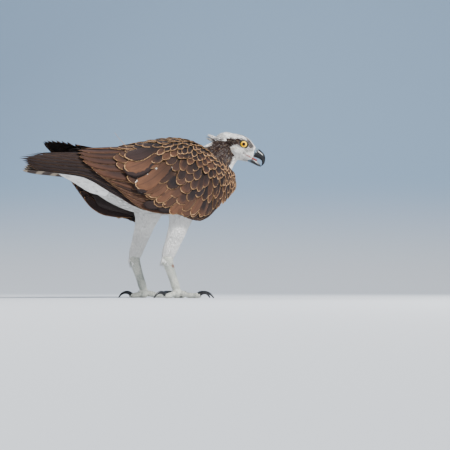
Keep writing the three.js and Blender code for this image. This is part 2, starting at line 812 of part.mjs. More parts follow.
for (const [name, leg] of Object.entries(LEGS)) {
  const shin = tarsus(name, leg);
  const shinCutter = grownTube(tarsusRows(leg), 8, 6, FORWARD);
  const footSolid = foot(name, leg, shinCutter);
  const toeCutters = TOES.map((toe) => grownTube(toeRows(leg, toe), 8, 6, undefined, padBulge(toe.pads)));
  addNode(`thigh_${name}`, thighs[name], WHITE);
  addNode(`tarsus_${name}`, shin, SKIN);
  addNode(`foot_${name}`, footSolid, SKIN);
  TOES.forEach((toe, i) => addNode(`claw_${toe.name}_${name}`, claw(leg, toe, toeCutters[i]), HORN));
}

// The frame's origin is on the floor under the middle of the bird's box.
const box = new THREE.Box3().setFromObject(group);
const middle = box.getCenter(new THREE.Vector3());
group.position.set(-middle.x, -middle.y, -box.min.z);
export default group;
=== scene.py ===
"""Osprey, life size: skin, plumage, bill, eyes and feet over the CAD solids.

The bird faces +X and its left side is +Y. Shapes are worked out in millimetres in the bird's own
frame and carried into the row frame in metres. Every surface is a function of two parameters, s and a.
"""

import logging
import math
from collections.abc import Callable, Sequence
from dataclasses import dataclass, field
from enum import Enum
from typing import ClassVar, NamedTuple

import bmesh
import bpy
import numpy as np
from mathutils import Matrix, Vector

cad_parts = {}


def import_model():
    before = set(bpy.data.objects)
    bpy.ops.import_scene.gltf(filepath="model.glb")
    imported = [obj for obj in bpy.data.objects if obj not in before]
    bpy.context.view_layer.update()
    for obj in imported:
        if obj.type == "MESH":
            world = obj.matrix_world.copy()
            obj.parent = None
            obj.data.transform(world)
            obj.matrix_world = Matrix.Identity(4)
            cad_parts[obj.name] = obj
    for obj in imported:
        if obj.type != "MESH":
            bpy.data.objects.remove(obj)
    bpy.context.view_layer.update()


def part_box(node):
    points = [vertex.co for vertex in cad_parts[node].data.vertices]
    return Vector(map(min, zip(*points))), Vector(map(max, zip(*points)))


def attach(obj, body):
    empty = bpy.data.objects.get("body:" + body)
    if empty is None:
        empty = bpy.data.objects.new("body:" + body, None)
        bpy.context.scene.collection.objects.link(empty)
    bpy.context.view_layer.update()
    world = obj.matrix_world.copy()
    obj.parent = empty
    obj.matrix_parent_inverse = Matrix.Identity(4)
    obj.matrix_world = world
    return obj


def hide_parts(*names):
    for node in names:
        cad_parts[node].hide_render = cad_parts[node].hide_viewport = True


LOG = logging.getLogger("osprey")
MM = 0.001
SEED = 20
TINY = 1e-6
Array = np.ndarray
Number = Array | float
Rows = Sequence[Sequence[float]]
Surface = Callable[[Array, Array], Array]
Colour = tuple[float, float, float, float]
Socket = bpy.types.NodeSocket


class Side(Enum):
    """Which side of the bird, with the sign of Y there."""

    LEFT = 1
    RIGHT = -1

    @property
    def word(self) -> str:
        """The side as the nodes' names spell it."""
        return self.name.lower()


def smooth_step(value: Array, low: float, high: float) -> Array:
    """0 below low, 1 above high, and the usual cubic between them."""
    share = np.clip((value - low) / (high - low), 0.0, 1.0)
    return share * share * (3.0 - 2.0 * share)


def mix(start: Number, end: Number, share: Number) -> Array:
    """The value that lies a share of the way from start to end."""
    return start + (end - start) * share


def stacked(*values: Number) -> Array:
    """Points or pairs from their coordinates, a plain number standing for all of them."""
    return np.stack(np.broadcast_arrays(*values), axis=-1)


def length(vectors: Array, least: float = TINY) -> Array:
    """How long each vector is, and never less than least."""
    return np.maximum(np.linalg.norm(vectors, axis=-1), least)


def unit(vectors: Array) -> Array:
    """The same directions, each with a length of 1."""
    return vectors / length(vectors)[..., None]


def about(rng: np.random.Generator, count: int, middle: Number, spread: float, low: float = 0.0) -> Array:
    """Numbers scattered normally about a middle and held between low and 1."""
    return np.clip(middle + spread * rng.standard_normal(count), low, 1)


class Track:
    """A smooth line through stations: cubic pieces whose slope at a station is that of its neighbours."""

    def __init__(self, rows: Rows) -> None:
        """Works out the slopes.

        Args:
            rows: where each station is, and then its values.
        """
        table = np.asarray(rows, dtype=float)
        self.at, self.values = table[:, 0], table[:, 1:]
        steps = np.diff(self.at)[:, None]
        slopes = np.diff(self.values, axis=0) / steps
        inner = (self.values[2:] - self.values[:-2]) / (steps[1:] + steps[:-1])
        self.slopes = np.vstack([slopes[:1], inner, slopes[-1:]])

    def __call__(self, where: Array) -> tuple[Array, ...]:
        """The values at each place.

        Args:
            where: places of any shape, held within the first and last station.

        Returns:
            One array of that shape for each value.
        """
        x = np.clip(np.asarray(where, dtype=float), self.at[0], self.at[-1])
        i = np.clip(np.searchsorted(self.at, x, side="right") - 1, 0, len(self.at) - 2)
        width = self.at[i + 1] - self.at[i]
        t = ((x - self.at[i]) / width)[..., None]
        width = width[..., None]
        low = (2 * t**3 - 3 * t**2 + 1) * self.values[i] + (t**3 - 2 * t**2 + t) * width * self.slopes[i]
        high = (3 * t**2 - 2 * t**3) * self.values[i + 1] + (t**3 - t**2) * width * self.slopes[i + 1]
        total = low + high
        return tuple(total[..., k] for k in range(total.shape[-1]))


# Torso: x, top z, bottom z, half width
TORSO = (
    (-172, 242, 220, 10), (-160, 252, 207, 23), (-130, 266, 188, 40), (-80, 281, 168, 57),
    (-20, 294, 157, 67), (30, 296, 159, 69), (75, 287, 172, 63), (108, 271, 196, 48),
    (126, 257, 217, 30), (133, 246, 230, 12),
)
# The same body carried back under the tail feathers
VENT = (
    (-226, 237, 229, 10), (-212, 240, 222, 23), (-185, 245, 211, 31),
    (-160, 252, 198, 33), (-120, 262, 184, 38),
)
# Outside of the folded wings: x, ridge z, lower edge z, half width
TENT = (
    (-340, 252, 236, 26), (-300, 259, 229, 37), (-258, 263, 226, 45), (-205, 269, 222, 54),
    (-174, 273, 210, 60), (-143, 278, 196, 66), (-113, 283, 179, 73), (-80, 289, 166, 79),
    (-33, 300, 159, 85), (19, 309, 151, 88), (57, 308, 158, 88), (85, 300, 175, 87),
    (104, 289, 188, 85), (125, 283, 205, 80), (140, 272, 216, 76),
)
# Front of a wing's inner sheet: t, x
WING_FRONT = ((0.0, 74), (0.2, 90), (0.4, 108), (0.62, 124), (0.85, 132), (1.0, 122))
# How far the left wing's tip is swung across the tail and raised over it, and the -x between which that grows
SWING, RAISE, SWING_FROM, SWING_TO = 34, 24, 120, 290
# Neck from the body to the back of the head: x, y, z, half width, half height
NECK = (
    (88, 2, 240, 50, 48), (116, 3, 252, 48, 46), (139, 4, 266, 42, 41),
    (157, 3, 279, 36, 37), (171, 0, 289, 31, 33), (186, -8, 297, 24, 26),
)
# Head in its own frame, +X to the bill: x, crown z, throat z, half width
HEAD = (
    (-60, -6, -20, 8), (-55, 2, -29, 17), (-42, 10.5, -36, 24), (-24, 16, -37, 26.5), (-8, 17.5, -34, 25.5),
    (5, 14, -32, 22), (15, 8, -30.5, 16.5), (22, 2.8, -28, 12.5), (26, 0.5, -26, 10.5),
)
# Brow, cheek and the hollow of the eye: height, angle from the crown and its spread, x and its spread
SWELLINGS = ((1.8, 0.86, 0.24, 3, 13), (2.2, 2.0, 0.5, -8, 16), (-4.2, 1.26, 0.36, 1, 9))
HEAD_AT = np.array([201.0, -30.0, 307.0])
HEAD_YAW, HEAD_PITCH = -55.0, 20.0
EYE_RADIUS = 8.6
EYE_AT = np.array([0.5, 14.6, 0.0])
# Feathered leg: share of the way from hip to ankle, half width, half depth
THIGH = ((0, 27, 40), (0.28, 25, 34), (0.5, 17, 23), (0.75, 12.5, 17.5), (0.93, 11.5, 14.5), (1, 9, 11.5))
# Hip, knee and ankle, and the foot's middle
LEG_LINES = {
    Side.RIGHT: ((18, -40, 205), (12, -52, 150), (-25, -57, 74)),
    Side.LEFT: ((14, 40, 205), (12, 52, 152), (-12, 60, 77)),
}
FEET = {Side.RIGHT: (-2, -58, 17), Side.LEFT: (12, 60, 17)}
# The skin lies this far under the plumage's outline on body, head and legs
BODY_DEPTH, HEAD_DEPTH, LEG_DEPTH = -3.5, -1.4, -2.5


def head_matrix() -> Array:
    """Turns the head's own frame into the bird's: yaw about +Z after pitch about +Y."""
    (c, s), (d, e) = ((math.cos(turn), math.sin(turn)) for turn in np.radians([HEAD_YAW, HEAD_PITCH]))
    return np.array([[c, -s, 0], [s, c, 0], [0, 0, 1]]) @ np.array([[d, 0, e], [0, 1, 0], [-e, 0, d]])


HEAD_TURN = head_matrix()


def from_head(points: Array) -> Array:
    """Points of the head's own frame, carried to the bird's frame."""
    return points @ HEAD_TURN.T + HEAD_AT


def to_head(points: Array) -> Array:
    """Points of the bird's frame, carried to the head's own frame."""
    return (points - HEAD_AT) @ HEAD_TURN


def frame_shift() -> Array:
    """How far the row frame lies from the bird's frame, read off the right eye's solid, in metres."""
    low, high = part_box("eye_right")
    return (np.array(low) + np.array(high)) / 2 - from_head(EYE_AT * np.array([1.0, -1.0, 1.0])) * MM


def section(x: Array, sizes: Sequence[Array], angle: Array, grow: Number, fuller: float) -> Array:
    """A rounded section: an ellipse whose sine and cosine are raised to 1/fuller, with angle 0 on top.

    Args:
        x: where it stands.
        sizes: its top z, bottom z and half width.
        angle: places round it.
        grow: how far outside those sizes it lies.
        fuller: above 1 for a squarer section.

    Returns:
        Points.
    """
    top, bottom, half = sizes
    sine, cosine = (np.sign(wave) * np.abs(wave) ** (1 / fuller) for wave in (np.sin(angle), np.cos(angle)))
    return stacked(x, -sine * (half + grow), (top + bottom) / 2 + cosine * ((top - bottom) / 2 + grow))


def mid_height(track: Track, x: Array) -> Array:
    """Points halfway between a loft's top and bottom."""
    top, bottom = track(x)[:2]
    return stacked(x, 0, (top + bottom) / 2)


@dataclass
class Patch:
    """A surface over two parameters, with its outward side and the parameters' ranges.

    Attributes:
        place: gives points in the bird's frame for arrays of s and a.
        middle: a point inside the surface for each s, which tells outwards from inwards.
        s_range: where s starts and ends.
        a_range: where a starts and ends; from -pi to pi it goes once round the piece.
    """

    place: Surface
    middle: Callable[[Array], Array]
    s_range: tuple[float, float] = (0.0, 1.0)
    a_range: tuple[float, float] = (-math.pi, math.pi)

    def frame(self, s: Array, a: Array) -> tuple[Array, Array, Array, Array]:
        """Point, outward normal, and the surface's steps per unit of s and of a.

        Args:
            s: first parameters.
            a: second parameters.

        Returns:
            Point, normal, d/ds and d/da, each with a last axis of three.
        """
        small_s = (self.s_range[1] - self.s_range[0]) * 1e-3
        small_a = (self.a_range[1] - self.a_range[0]) * 1e-3
        point = self.place(s, a)
        by_s = (self.place(s + small_s, a) - self.place(s - small_s, a)) / (2 * small_s)
        by_a = (self.place(s, a + small_a) - self.place(s, a - small_a)) / (2 * small_a)
        normal = unit(np.cross(by_s, by_a))
        outwards = np.sum(normal * (point - self.middle(s)), axis=-1, keepdims=True)
        return point, normal * np.where(outwards < 0, -1.0, 1.0), by_s, by_a

    def scatter(self, count: int, rng: np.random.Generator, keep: Surface) -> tuple[Array, Array]:
        """Parameters spread evenly over the surface's area.

        Args:
            count: how many to aim for before keep drops some.
            rng: seeded generator.
            keep: chance from 0 to 1 of keeping a place, for arrays of s and a.

        Returns:
            Arrays of s and a.
        """
        s = rng.uniform(*self.s_range, count * 6)
        a = rng.uniform(*self.a_range, count * 6)
        _, _, by_s, by_a = self.frame(s, a)
        area = np.linalg.norm(np.cross(by_s, by_a), axis=-1)
        chosen = rng.uniform(0, 1, s.size) < area / np.percentile(area, 98)
        s, a = s[chosen][:count], a[chosen][:count]
        kept = rng.uniform(0, 1, s.size) < keep(s, a)
        return s[kept], a[kept]

    def unwrap(self, s: Array, a: Array) -> Array:
        """Place of (s, a) on the unit square, inside a margin, for the bake's map."""
        low, high = np.array([self.s_range, self.a_range]).T
        return 0.02 + 0.95 * np.clip((stacked(s, a) - low) / (high - low), 0, 1)


def body_patch(rows: Rows, front: float, back: float, fuller: float = 1.12) -> Patch:
    """A loft along X, a body's depth inside its rows.

    Args:
        rows: x, top z, bottom z and half width.
        front: x where s is 0.
        back: x where s is 1.
        fuller: how square its sections are.

    Returns:
        The patch, whose a goes round from the top.
    """
    track = Track(rows)

    def place(s: Array, a: Array) -> Array:
        """The section at s."""
        x = mix(front, back, s)
        return section(x, track(x), a, BODY_DEPTH, fuller)

    return Patch(place, lambda s: mid_height(track, mix(front, back, s)))


def limb_patch(rows: Rows, up: Sequence[float], grow: float = 0.0) -> Patch:
    """A tube of elliptical sections, which runs straight on past either end.

    Args:
        rows: x, y, z, half width and half depth; s runs from the first to the last.
        up: the sections' depth lies in the plane of the path and this direction.
        grow: how far outside those sizes it lies.

    Returns:
        The patch.
    """
    table = np.array(rows, dtype=float)
    shares = np.linspace(0, 1, len(table))
    path = Track(np.column_stack([shares, table[:, :3]]))
    sizes = Track(np.column_stack([shares, table[:, 3:]]))

    def centre(s: Array) -> Array:
        """The path at s."""
        beyond = (s - np.clip(s, 0, 1))[..., None]
        return stacked(*path(s)) + beyond * np.where(beyond < 0, path.slopes[0], path.slopes[-1])

    def place(s: Array, a: Array) -> Array:
        """The section at s, square to the path."""
        ahead = unit(centre(s + 0.01) - centre(s - 0.01))
        side = unit(np.cross(np.array(up, dtype=float), ahead))
        wide, deep = (size + grow for size in sizes(s))
        across, over = np.sin(a) * wide, np.cos(a) * deep
        return centre(s) + across[..., None] * side + over[..., None] * np.cross(ahead, side)

    return Patch(place, centre)


def head_patch() -> Patch:
    """The head's skin: its loft with brow, cheek and the hollow round the eye.

    Returns:
        The patch: s is the head's own x, from the nape to the bill, and a goes round from the crown.
    """
    track = Track(HEAD)

    def place(s: Array, a: Array) -> Array:
        """The section at s, swollen by bells round it and along it."""
        grow = HEAD_DEPTH
        for height, angle, angle_spread, x, x_spread in SWELLINGS:
            bell = np.exp(-(((np.abs(a) - angle) / angle_spread) ** 2) - ((s - x) / x_spread) ** 2)
            grow = grow + height * bell
        return from_head(section(s, track(s), a, grow, 1.08))

    ends = (HEAD[0][0] - HEAD_DEPTH, HEAD[-1][0] + HEAD_DEPTH)
    return Patch(place, lambda s: from_head(mid_height(track, s)), ends)


def tent_patch(side: Side) -> Patch:
    """The outside of one folded wing.

    Args:
        side: which wing; the left one's tip is swung across the tail and raised over it.

    Returns:
        The patch: s is x and a is t, 0 at the ridge and 1 at the lower edge.
    """
    track = Track(TENT)

    def swung(s: Array) -> Array:
        """How far the tip has swung, from 0 to 1."""
        return smooth_step(-s, SWING_FROM, SWING_TO) * (side is Side.LEFT)

    def place(s: Array, a: Array) -> Array:
        """A quarter of a squared-off ellipse, drawn in below the lower edge."""
        ridge, edge, half = track(s)
        angle = np.clip(a, 0, 1.2) * math.pi / 2
        away = np.abs(np.sin(angle)) ** 0.75 * (1 - 0.06 * a**3)
        height = mix(edge, ridge, np.cos(angle)) + RAISE * swung(s)
        return stacked(s, side.value * half * away - SWING * swung(s), height)

    def middle(s: Array) -> Array:
        """Points well inside the body."""
        return mid_height(track, s) - stacked(0, SWING * swung(s), 30)

    return Patch(place, middle, (-340, 140), (0.0, 1.1))


class MeshParts(NamedTuple):
    """Vertices in the bird's frame and faces as arrays of equal width."""

    vertices: Array
    faces: list[Array]


def joined(parts: Sequence[MeshParts]) -> MeshParts:
    """Several meshes laid into one, in their order."""
    starts = np.cumsum([0] + [len(part.vertices) for part in parts])
    faces = [face + start for part, start in zip(parts, starts) for face in part.faces]
    return MeshParts(np.vstack([part.vertices for part in parts]), faces)


def tube_parts(patch: Patch, around: int, along: int) -> MeshParts:
    """A closed tube over a patch: rings of a for rows of s, and a fan to a middle point at each end.

    Args:
        patch: the surface, closed in a.
        around: points in each ring.
        along: how many rings.

    Returns:
        The mesh.
    """
    s = np.linspace(*patch.s_range, along)
    a = np.linspace(-math.pi, math.pi, around, endpoint=False)
    rings = patch.place(*np.meshgrid(s, a, indexing="ij"))
    vertices = np.vstack([rings.reshape(-1, 3), rings[0].mean(axis=0), rings[-1].mean(axis=0)])
    index = np.arange(along * around).reshape(along, around)
    after = np.roll(index, -1, axis=1)
    quads = stacked(index[:-1], after[:-1], after[1:], index[1:]).reshape(-1, 4)
    end = along * around
    caps = np.vstack([stacked(after[0], index[0], end), stacked(index[-1], after[-1], end + 1)])
    return MeshParts(vertices, [quads, caps])


class Studio:
    """Carries finished arrays into Blender, in metres and in the row frame."""

    def __init__(self) -> None:
        """Reads where the row frame lies."""
        self.shift = frame_shift()

    def mesh(self, name: str, parts: MeshParts) -> bpy.types.Object:
        """Makes a smoothly shaded object from arrays.

        Args:
            name: the piece's name.
            parts: vertices in the bird's frame, in millimetres, and faces.

        Returns:
            The new object, linked to the scene.
        """
        data = bpy.data.meshes.new(name)
        vertices = parts.vertices * MM + self.shift
        loops = np.concatenate([face.ravel() for face in parts.faces]).astype(np.int32)
        sizes = np.concatenate([np.full(len(face), face.shape[1]) for face in parts.faces])
        starts = np.concatenate([[0], np.cumsum(sizes)[:-1]]).astype(np.int32)
        for group, key, values in (
            (data.vertices, "co", vertices.astype(np.float32).ravel()),
            (data.loops, "vertex_index", loops),
            (data.polygons, "loop_start", starts),
        ):
            group.add(len(values) // (3 if key == "co" else 1))
            group.foreach_set(key, values)
        data.polygons.foreach_set("use_smooth", np.full(len(starts), True))
        data.update(calc_edges=True)
        data.validate()
        return self.placed(name, data)

    def placed(self, name: str, data: bpy.types.ID) -> bpy.types.Object:
        """An object of some data, linked to the scene."""
        piece = bpy.data.objects.new(name, data)
        bpy.context.scene.collection.objects.link(piece)
        return piece

    def closed(self, name: str, parts: MeshParts) -> bpy.types.Object:
        """Makes an object from a closed shape and turns its faces outwards.

        Args:
            name: the piece's name.
            parts: its vertices and faces.

        Returns:
            The new object.
        """
        piece = self.mesh(name, parts)
        work = bmesh.new()
        work.from_mesh(piece.data)
        bmesh.ops.recalc_face_normals(work, faces=work.faces)
        work.to_mesh(piece.data)
        work.free()
        return piece

    def fused(self, name: str, parts: Sequence[MeshParts], voxel: float, passes: int) -> bpy.types.Object:
        """One closed surface round several closed ones, smoothed where they meet.

        Args:
            name: the piece's name.
            parts: closed shapes that overlap.
            voxel: edge of the remeshing grid, in millimetres.
            passes: how many rounds of smoothing.

        Returns:
            The new object with its modifiers applied.
        """
        rough = self.mesh(name + "_rough", joined(parts))
        remesh = rough.modifiers.new("one_surface", "REMESH")
        remesh.mode = "VOXEL"
        remesh.voxel_size = voxel * MM
        soften = rough.modifiers.new("soften", "SMOOTH")
        soften.factor = 0.5
        soften.iterations = passes
        shaped = rough.evaluated_get(bpy.context.evaluated_depsgraph_get())
        data = bpy.data.meshes.new_from_object(shaped)
        data.name = name
        piece = self.placed(name, data)
        bpy.data.objects.remove(rough)
        data.polygons.foreach_set("use_smooth", np.full(len(data.polygons), True))
        return piece


def read_vertices(piece: bpy.types.Object) -> Array:
    """A piece's vertices as they stand in Blender, in metres."""
    places = np.empty(len(piece.data.vertices) * 3, dtype=np.float32)
    piece.data.vertices.foreach_get("co", places)
    return places.reshape(-1, 3)


def add_floats(piece: bpy.types.Object, **numbers: Array) -> None:
    """Writes one number per vertex for each named attribute."""
    for name, values in numbers.items():
        layer = piece.data.attributes.new(name, "FLOAT", "POINT")
        layer.data.foreach_set("value", values.astype(np.float32).ravel())


def add_map(piece: bpy.types.Object, name: str, places: Array) -> None:
    """Writes one UV per vertex as a named map.

    Args:
        piece: the mesh object.
        name: the map's name.
        places: u and v for each vertex.
    """
    loops = np.empty(len(piece.data.loops), dtype=np.int32)
    piece.data.loops.foreach_get("vertex_index", loops)
    layer = piece.data.uv_layers.new(name=name)
    layer.data.foreach_set("uv", places[loops].astype(np.float32).ravel())


class Feathers(NamedTuple):
    """Arrays with one entry for each feather, all on one patch.

    Attributes:
        root: s and a where it leaves the skin.
        tip: s and a over which its tip lies.
        width: greatest width, in millimetres.
        lift: how far it stands off the patch at its root and at its tip.
        roll: how far its lower edge is raised and its upper edge sunk.
        tone: from 0, light, to 1, dark.
        fringe: strength of the pale edge.
        core: strength of the dark middle.
        bow: sideways bow of the shaft, in units of a.
        point: how far the tip's middle runs past its corners, as a share of the width.
        warm: from 0, plain brown, to 1, red-brown.
        notch: strength of the white notches in the upper edge.
    """

    root: Array
    tip: Array
    width: Array
    lift: Array
    roll: Array
    tone: Array
    fringe: Array
    core: Array
    bow: Array
    point: Array
    warm: Array
    notch: Array


def feathers(
    root: Array, tip: Array, width: Number, lift: tuple[Number, Number], **looks: Number
) -> Feathers:
    """A set of feathers in which a plain number stands for all of them.

    Args:
        root: s and a of each root.
        tip: s and a of each tip.
        width: greatest width.
        lift: height off the patch at the root and at the tip.
        looks: any of the fields from roll on; what isn't given is 0.

    Returns:
        The feathers.
    """

    def each(value: Number) -> Array:
        """One number for each feather."""
        return np.broadcast_to(np.asarray(value, dtype=float), (len(root),)).copy()

    rest = [each(looks.get(key, 0.0)) for key in Feathers._fields[4:]]
    return Feathers(root, tip, each(width), np.stack([each(lift[0]), each(lift[1])], axis=-1), *rest)


def all_of(groups: Sequence[Feathers]) -> Feathers:
    """One set of feathers from several, in their order."""
    return Feathers(*(np.concatenate(columns) for columns in zip(*groups)))


@dataclass(frozen=True)
class VaneForm:
    """How one kind of feather is cut: its outline, its thickness and how many faces it has.

    Attributes:
        outline: stations along it, with the half width there as a share of the greatest.
        rows: rings along the feather.
        columns: points across its upper face.
        thick: thickness at the shaft, in millimetres.
        crown: how far the shaft stands above the edges, as a share of the width.
        wrap: whether its width is bent to the patch.
        ragged: how uneven its edges are.
        under: how dark its lower face is at least, as painted shade for the faces that lie in shadow.
    """

    outline: tuple[tuple[float, float], ...]
    rows: int
    columns: int
    thick: float
    crown: float
    wrap: bool = False
    ragged: float = 0.0
    under: float = 0.0


TUFT = VaneForm(((0, 0.45), (0.4, 1.0), (0.8, 0.8), (1, 0.12)), 4, 3, 0.5, 0.1)
HAIR = VaneForm(((0, 0.5), (0.45, 1.0), (0.8, 0.7), (1, 0.1)), 4, 3, 0.24, 0.04)
BRISTLE = VaneForm(((0, 0.6), (0.5, 1.0), (1, 0.16)), 3, 3, 0.2, 0.04)
PLUME = VaneForm(((0, 0.5), (0.3, 0.85), (0.65, 1.0), (0.88, 0.8), (1, 0.3)), 8, 5, 0.5, 0.07, True, 0.05)
COVERT = VaneForm(((0, 0.5), (0.3, 0.86), (0.62, 1.0), (0.85, 0.86), (1, 0.42)), 10, 7, 0.6, 0.05, True, 0.03)
QUILL_OUTLINE = ((0, 0.45), (0.25, 0.85), (0.6, 1.0), (0.86, 0.9), (0.96, 0.66), (1, 0.34))
# The quills' lower faces are painted dark as shade (under 0.9).
QUILL = VaneForm(QUILL_OUTLINE, 18, 7, 0.7, 0.04, True, 0.02, 0.9)


def vane_arrays(
    patch: Patch, birds: Feathers, form: VaneForm, rng: np.random.Generator
) -> tuple[MeshParts, dict[str, Array], Array]:
    """Closed thin vanes laid over a patch.

    A vane's middle line runs in (s, a) from root to tip. At each row the section is a lens: its upper
    face is raised to a shallow crown, its lower face lies a thickness below and meets it at the edges.
    The height off the patch goes from the root's lift to the tip's, plus the roll times the place across.

    Args:
        patch: the surface they lie on.
        birds: the feathers.
        form: their cut.
        rng: seeded generator for the uneven edges.

    Returns:
        The mesh, the numbers for its vertices, and their places on the bake's map. Among the numbers, rim
        is how far the nearest edge is, in millimetres.
    """
    count = len(birds.width)
    v = 1 - (1 - np.linspace(0, 1, form.rows)) ** 1.25
    u = np.linspace(-1, 1, form.columns)
    shape = Track(form.outline)(v)[0]
    ring_u = np.concatenate([u, u[-2:0:-1]])
    ring_top = np.concatenate([np.ones(form.columns), -np.ones(form.columns - 2)])
    ring_top[[0, form.columns - 1]] = 0
    ring = len(ring_u)
    width, roll_by, point_by, bow, tone, fringe, core, warm, notch = (
        np.asarray(getattr(birds, key))[:, None, None]
        for key in ("width", "roll", "point", "bow", "tone", "fringe", "core", "warm", "notch")
    )

    along = v[None, :]
    s = mix(birds.root[:, :1], birds.tip[:, :1], along)
    a = mix(birds.root[:, 1:], birds.tip[:, 1:], along) + np.sin(math.pi * along) * bow[..., 0]
    point, normal, by_s, by_a = patch.frame(s, a)
    ahead = unit(np.gradient(point, axis=1))
    across = unit(np.cross(normal, ahead))
    lower = np.where(np.sum(across * by_a, axis=-1) < 0, -1.0, 1.0)[:, :, None] * ring_u

    uneven = 1 + form.ragged * rng.standard_normal((count, form.rows, 1)) * (v > 0.3)[None, :, None]
    half = width / 2 * shape[None, :, None] * uneven
    push = (v**6)[None, :, None] * (1 - np.abs(ring_u)) * (point_by * width)
    offset = across[:, :, None, :] * (ring_u * half)[..., None] + ahead[:, :, None, :] * push[..., None]
    if form.wrap:
        s2, a2 = (
            start[..., None]
            + np.sum(offset * step[:, :, None], axis=-1) / np.sum(step**2, axis=-1)[..., None]
            for start, step in ((s, by_s), (a, by_a))
        )
        base, lift_way, _, _ = patch.frame(s2, np.clip(a2, patch.a_range[0] + 0.004, patch.a_range[1]))
    else:
        base = point[:, :, None, :] + offset
        lift_way = np.broadcast_to(normal[:, :, None, :], base.shape)
    rise = mix(birds.lift[:, :1], birds.lift[:, 1:], np.minimum(1, along * 1.15))[:, :, None]
    roll = roll_by * lower * np.minimum(1, along * 2)[:, :, None]
    crown = form.crown * width * (1 - ring_u**2)
    thin = (form.thick / 2) * ring_top * (1 - 0.6 * v**4)[None, :, None] * (1 - ring_u**2 * 0.5)
    vertices = base + lift_way * (rise + roll + crown + thin)[..., None]

    index = np.arange(count * form.rows * ring).reshape(count, form.rows, ring)
    following = np.roll(index, -1, axis=2)
    quads = stacked(index[:, :-1], index[:, 1:], following[:, 1:], following[:, :-1]).reshape(-1, 4)
    caps = np.vstack([index[:, 0, :], index[:, -1, ::-1]])

    full = np.ones((count, form.rows, ring))
    share = along[..., None]
    long = np.linalg.norm(np.diff(point, axis=1), axis=-1).sum(axis=1)[:, None, None]
    numbers = {
        "across": ring_u,
        "along": share,
        # Painted shade: lower faces are at least as dark as the form's under says.
        "tone": np.maximum(full * tone, form.under * (ring_top < 0)),
        "fringe": fringe,
        "core": core,
        "pick": rng.uniform(0, 1, count)[:, None, None],
        "rim": np.minimum(half * (1 - np.abs(ring_u)), (1 - share) * long),
        "warm": warm,
        "notch": notch * smooth_step(-lower, 0.35, 0.9) * np.sin(along * 21)[..., None],
    }
    places = patch.unwrap(birds.root[:, 0], birds.root[:, 1])[:, None, None, :]
    local = np.stack([full * ring_u * 0.0015, full * share * 0.003], axis=-1)
    flat = {key: (full * values).ravel() for key, values in numbers.items()}
    return MeshParts(vertices.reshape(-1, 3), [quads, caps]), flat, (places + local).reshape(-1, 2)


def srgb(red: int, green: int, blue: int) -> Colour:
    """A colour as seen on screen, from 0 to 255, as the linear colour that a shader takes."""
    values = np.array([red, green, blue]) / 255
    linear = np.where(values <= 0.04045, values / 12.92, ((values + 0.055) / 1.055) ** 2.4)
    return (*map(float, linear), 1.0)


class Nodes:
    """Short words for a material's nodes."""

    def __init__(self, name: str) -> None:
        """Starts a material with a Principled shader."""
        self.material = bpy.data.materials.new(name)
        self.material.use_nodes = True
        self.tree = self.material.node_tree
        self.shader = self.tree.nodes["Principled BSDF"]

    def new(
        self, kind: str, values: dict[str | int, object] | None = None, **settings: object
    ) -> bpy.types.Node:
        """A node of a kind.

        Args:
            kind: the node's type.
            values: what goes into its inputs.
            settings: its own settings.

        Returns:
            The node.
        """
        node = self.tree.nodes.new(kind)
        for key, value in settings.items():
            setattr(node, key, value)
        for key, value in (values or {}).items():
            self.feed(value, node.inputs[key])
        return node

    def feed(self, value: object, socket: Socket) -> None:
        """Links a socket to another, or sets it to a number or colour."""
        if isinstance(value, Socket):
            self.tree.links.new(value, socket)
        else:
            socket.default_value = value

    def attribute(self, name: str) -> Socket:
        """One of the piece's own numbers."""
        return self.new("ShaderNodeAttribute", attribute_name=name).outputs["Fac"]

    def maths(self, operation: str, *values: object) -> Socket:
        """One of the maths operations on one or two values."""
        return self.new("ShaderNodeMath", dict(enumerate(values)), operation=operation).outputs[0]

    def times(self, first: object, second: object) -> Socket:
        """One value times another."""
        return self.maths("MULTIPLY", first, second)

    def plus(self, first: object, second: object) -> Socket:
        """One value and another."""
        return self.maths("ADD", first, second)

    def step(self, value: object, low: float, high: float, first: float = 0.0, last: float = 1.0) -> Socket:
        """A smooth change from first to last as the value goes from low to high."""
        values = {"Value": value, "From Min": low, "From Max": high, "To Min": first, "To Max": last}
        return self.new("ShaderNodeMapRange", values, interpolation_type="SMOOTHSTEP").outputs["Result"]

    def blend(self, share: object, start: object, end: object, kind: str = "MIX") -> Socket:
        """A mixture of two colours."""
        node = self.new("ShaderNodeMix", data_type="RGBA", blend_type=kind)
        for key, value in (("Factor", share), (6, start), (7, end)):
            self.feed(value, node.inputs[key])
        return node.outputs[2]

    def noise(self, vector: Socket, scale: float, detail: float) -> Socket:
        """Cloudy noise from 0 to 1."""
        values = {"Vector": vector, "Scale": scale, "Detail": detail}
        return self.new("ShaderNodeTexNoise", values).outputs["Fac"]

    def vector(self, *values: object) -> Socket:
        """A vector from three values."""
        return self.new("ShaderNodeCombineXYZ", dict(enumerate(values))).outputs[0]

    def shaded(self, colour: object, shade: Socket) -> Socket:
        """A colour times a grey."""
        return self.blend(1.0, colour, self.vector(shade, shade, shade), "MULTIPLY")

    def object_place(self) -> Socket:
        """The surface's own place, in metres."""
        return self.new("ShaderNodeTexCoord").outputs["Object"]

    def surface(
        self, colour: object, roughness: object, bump: tuple[Socket, float] | None, **more: float
    ) -> None:
        """Fills in the shader.

        Args:
            colour: its base colour.
            roughness: its roughness.
            bump: a height and the distance in metres by which it roughens the surface.
            more: further inputs, with a line for each space in their names.
        """
        for key, value in {"Base_Color": colour, "Roughness": roughness, **more}.items():
            self.feed(value, self.shader.inputs[key.replace("_", " ")])
        if bump:
            values = {"Distance": bump[1], "Strength": 1.0, "Height": bump[0]}
            self.feed(self.new("ShaderNodeBump", values).outputs["Normal"], self.shader.inputs["Normal"])


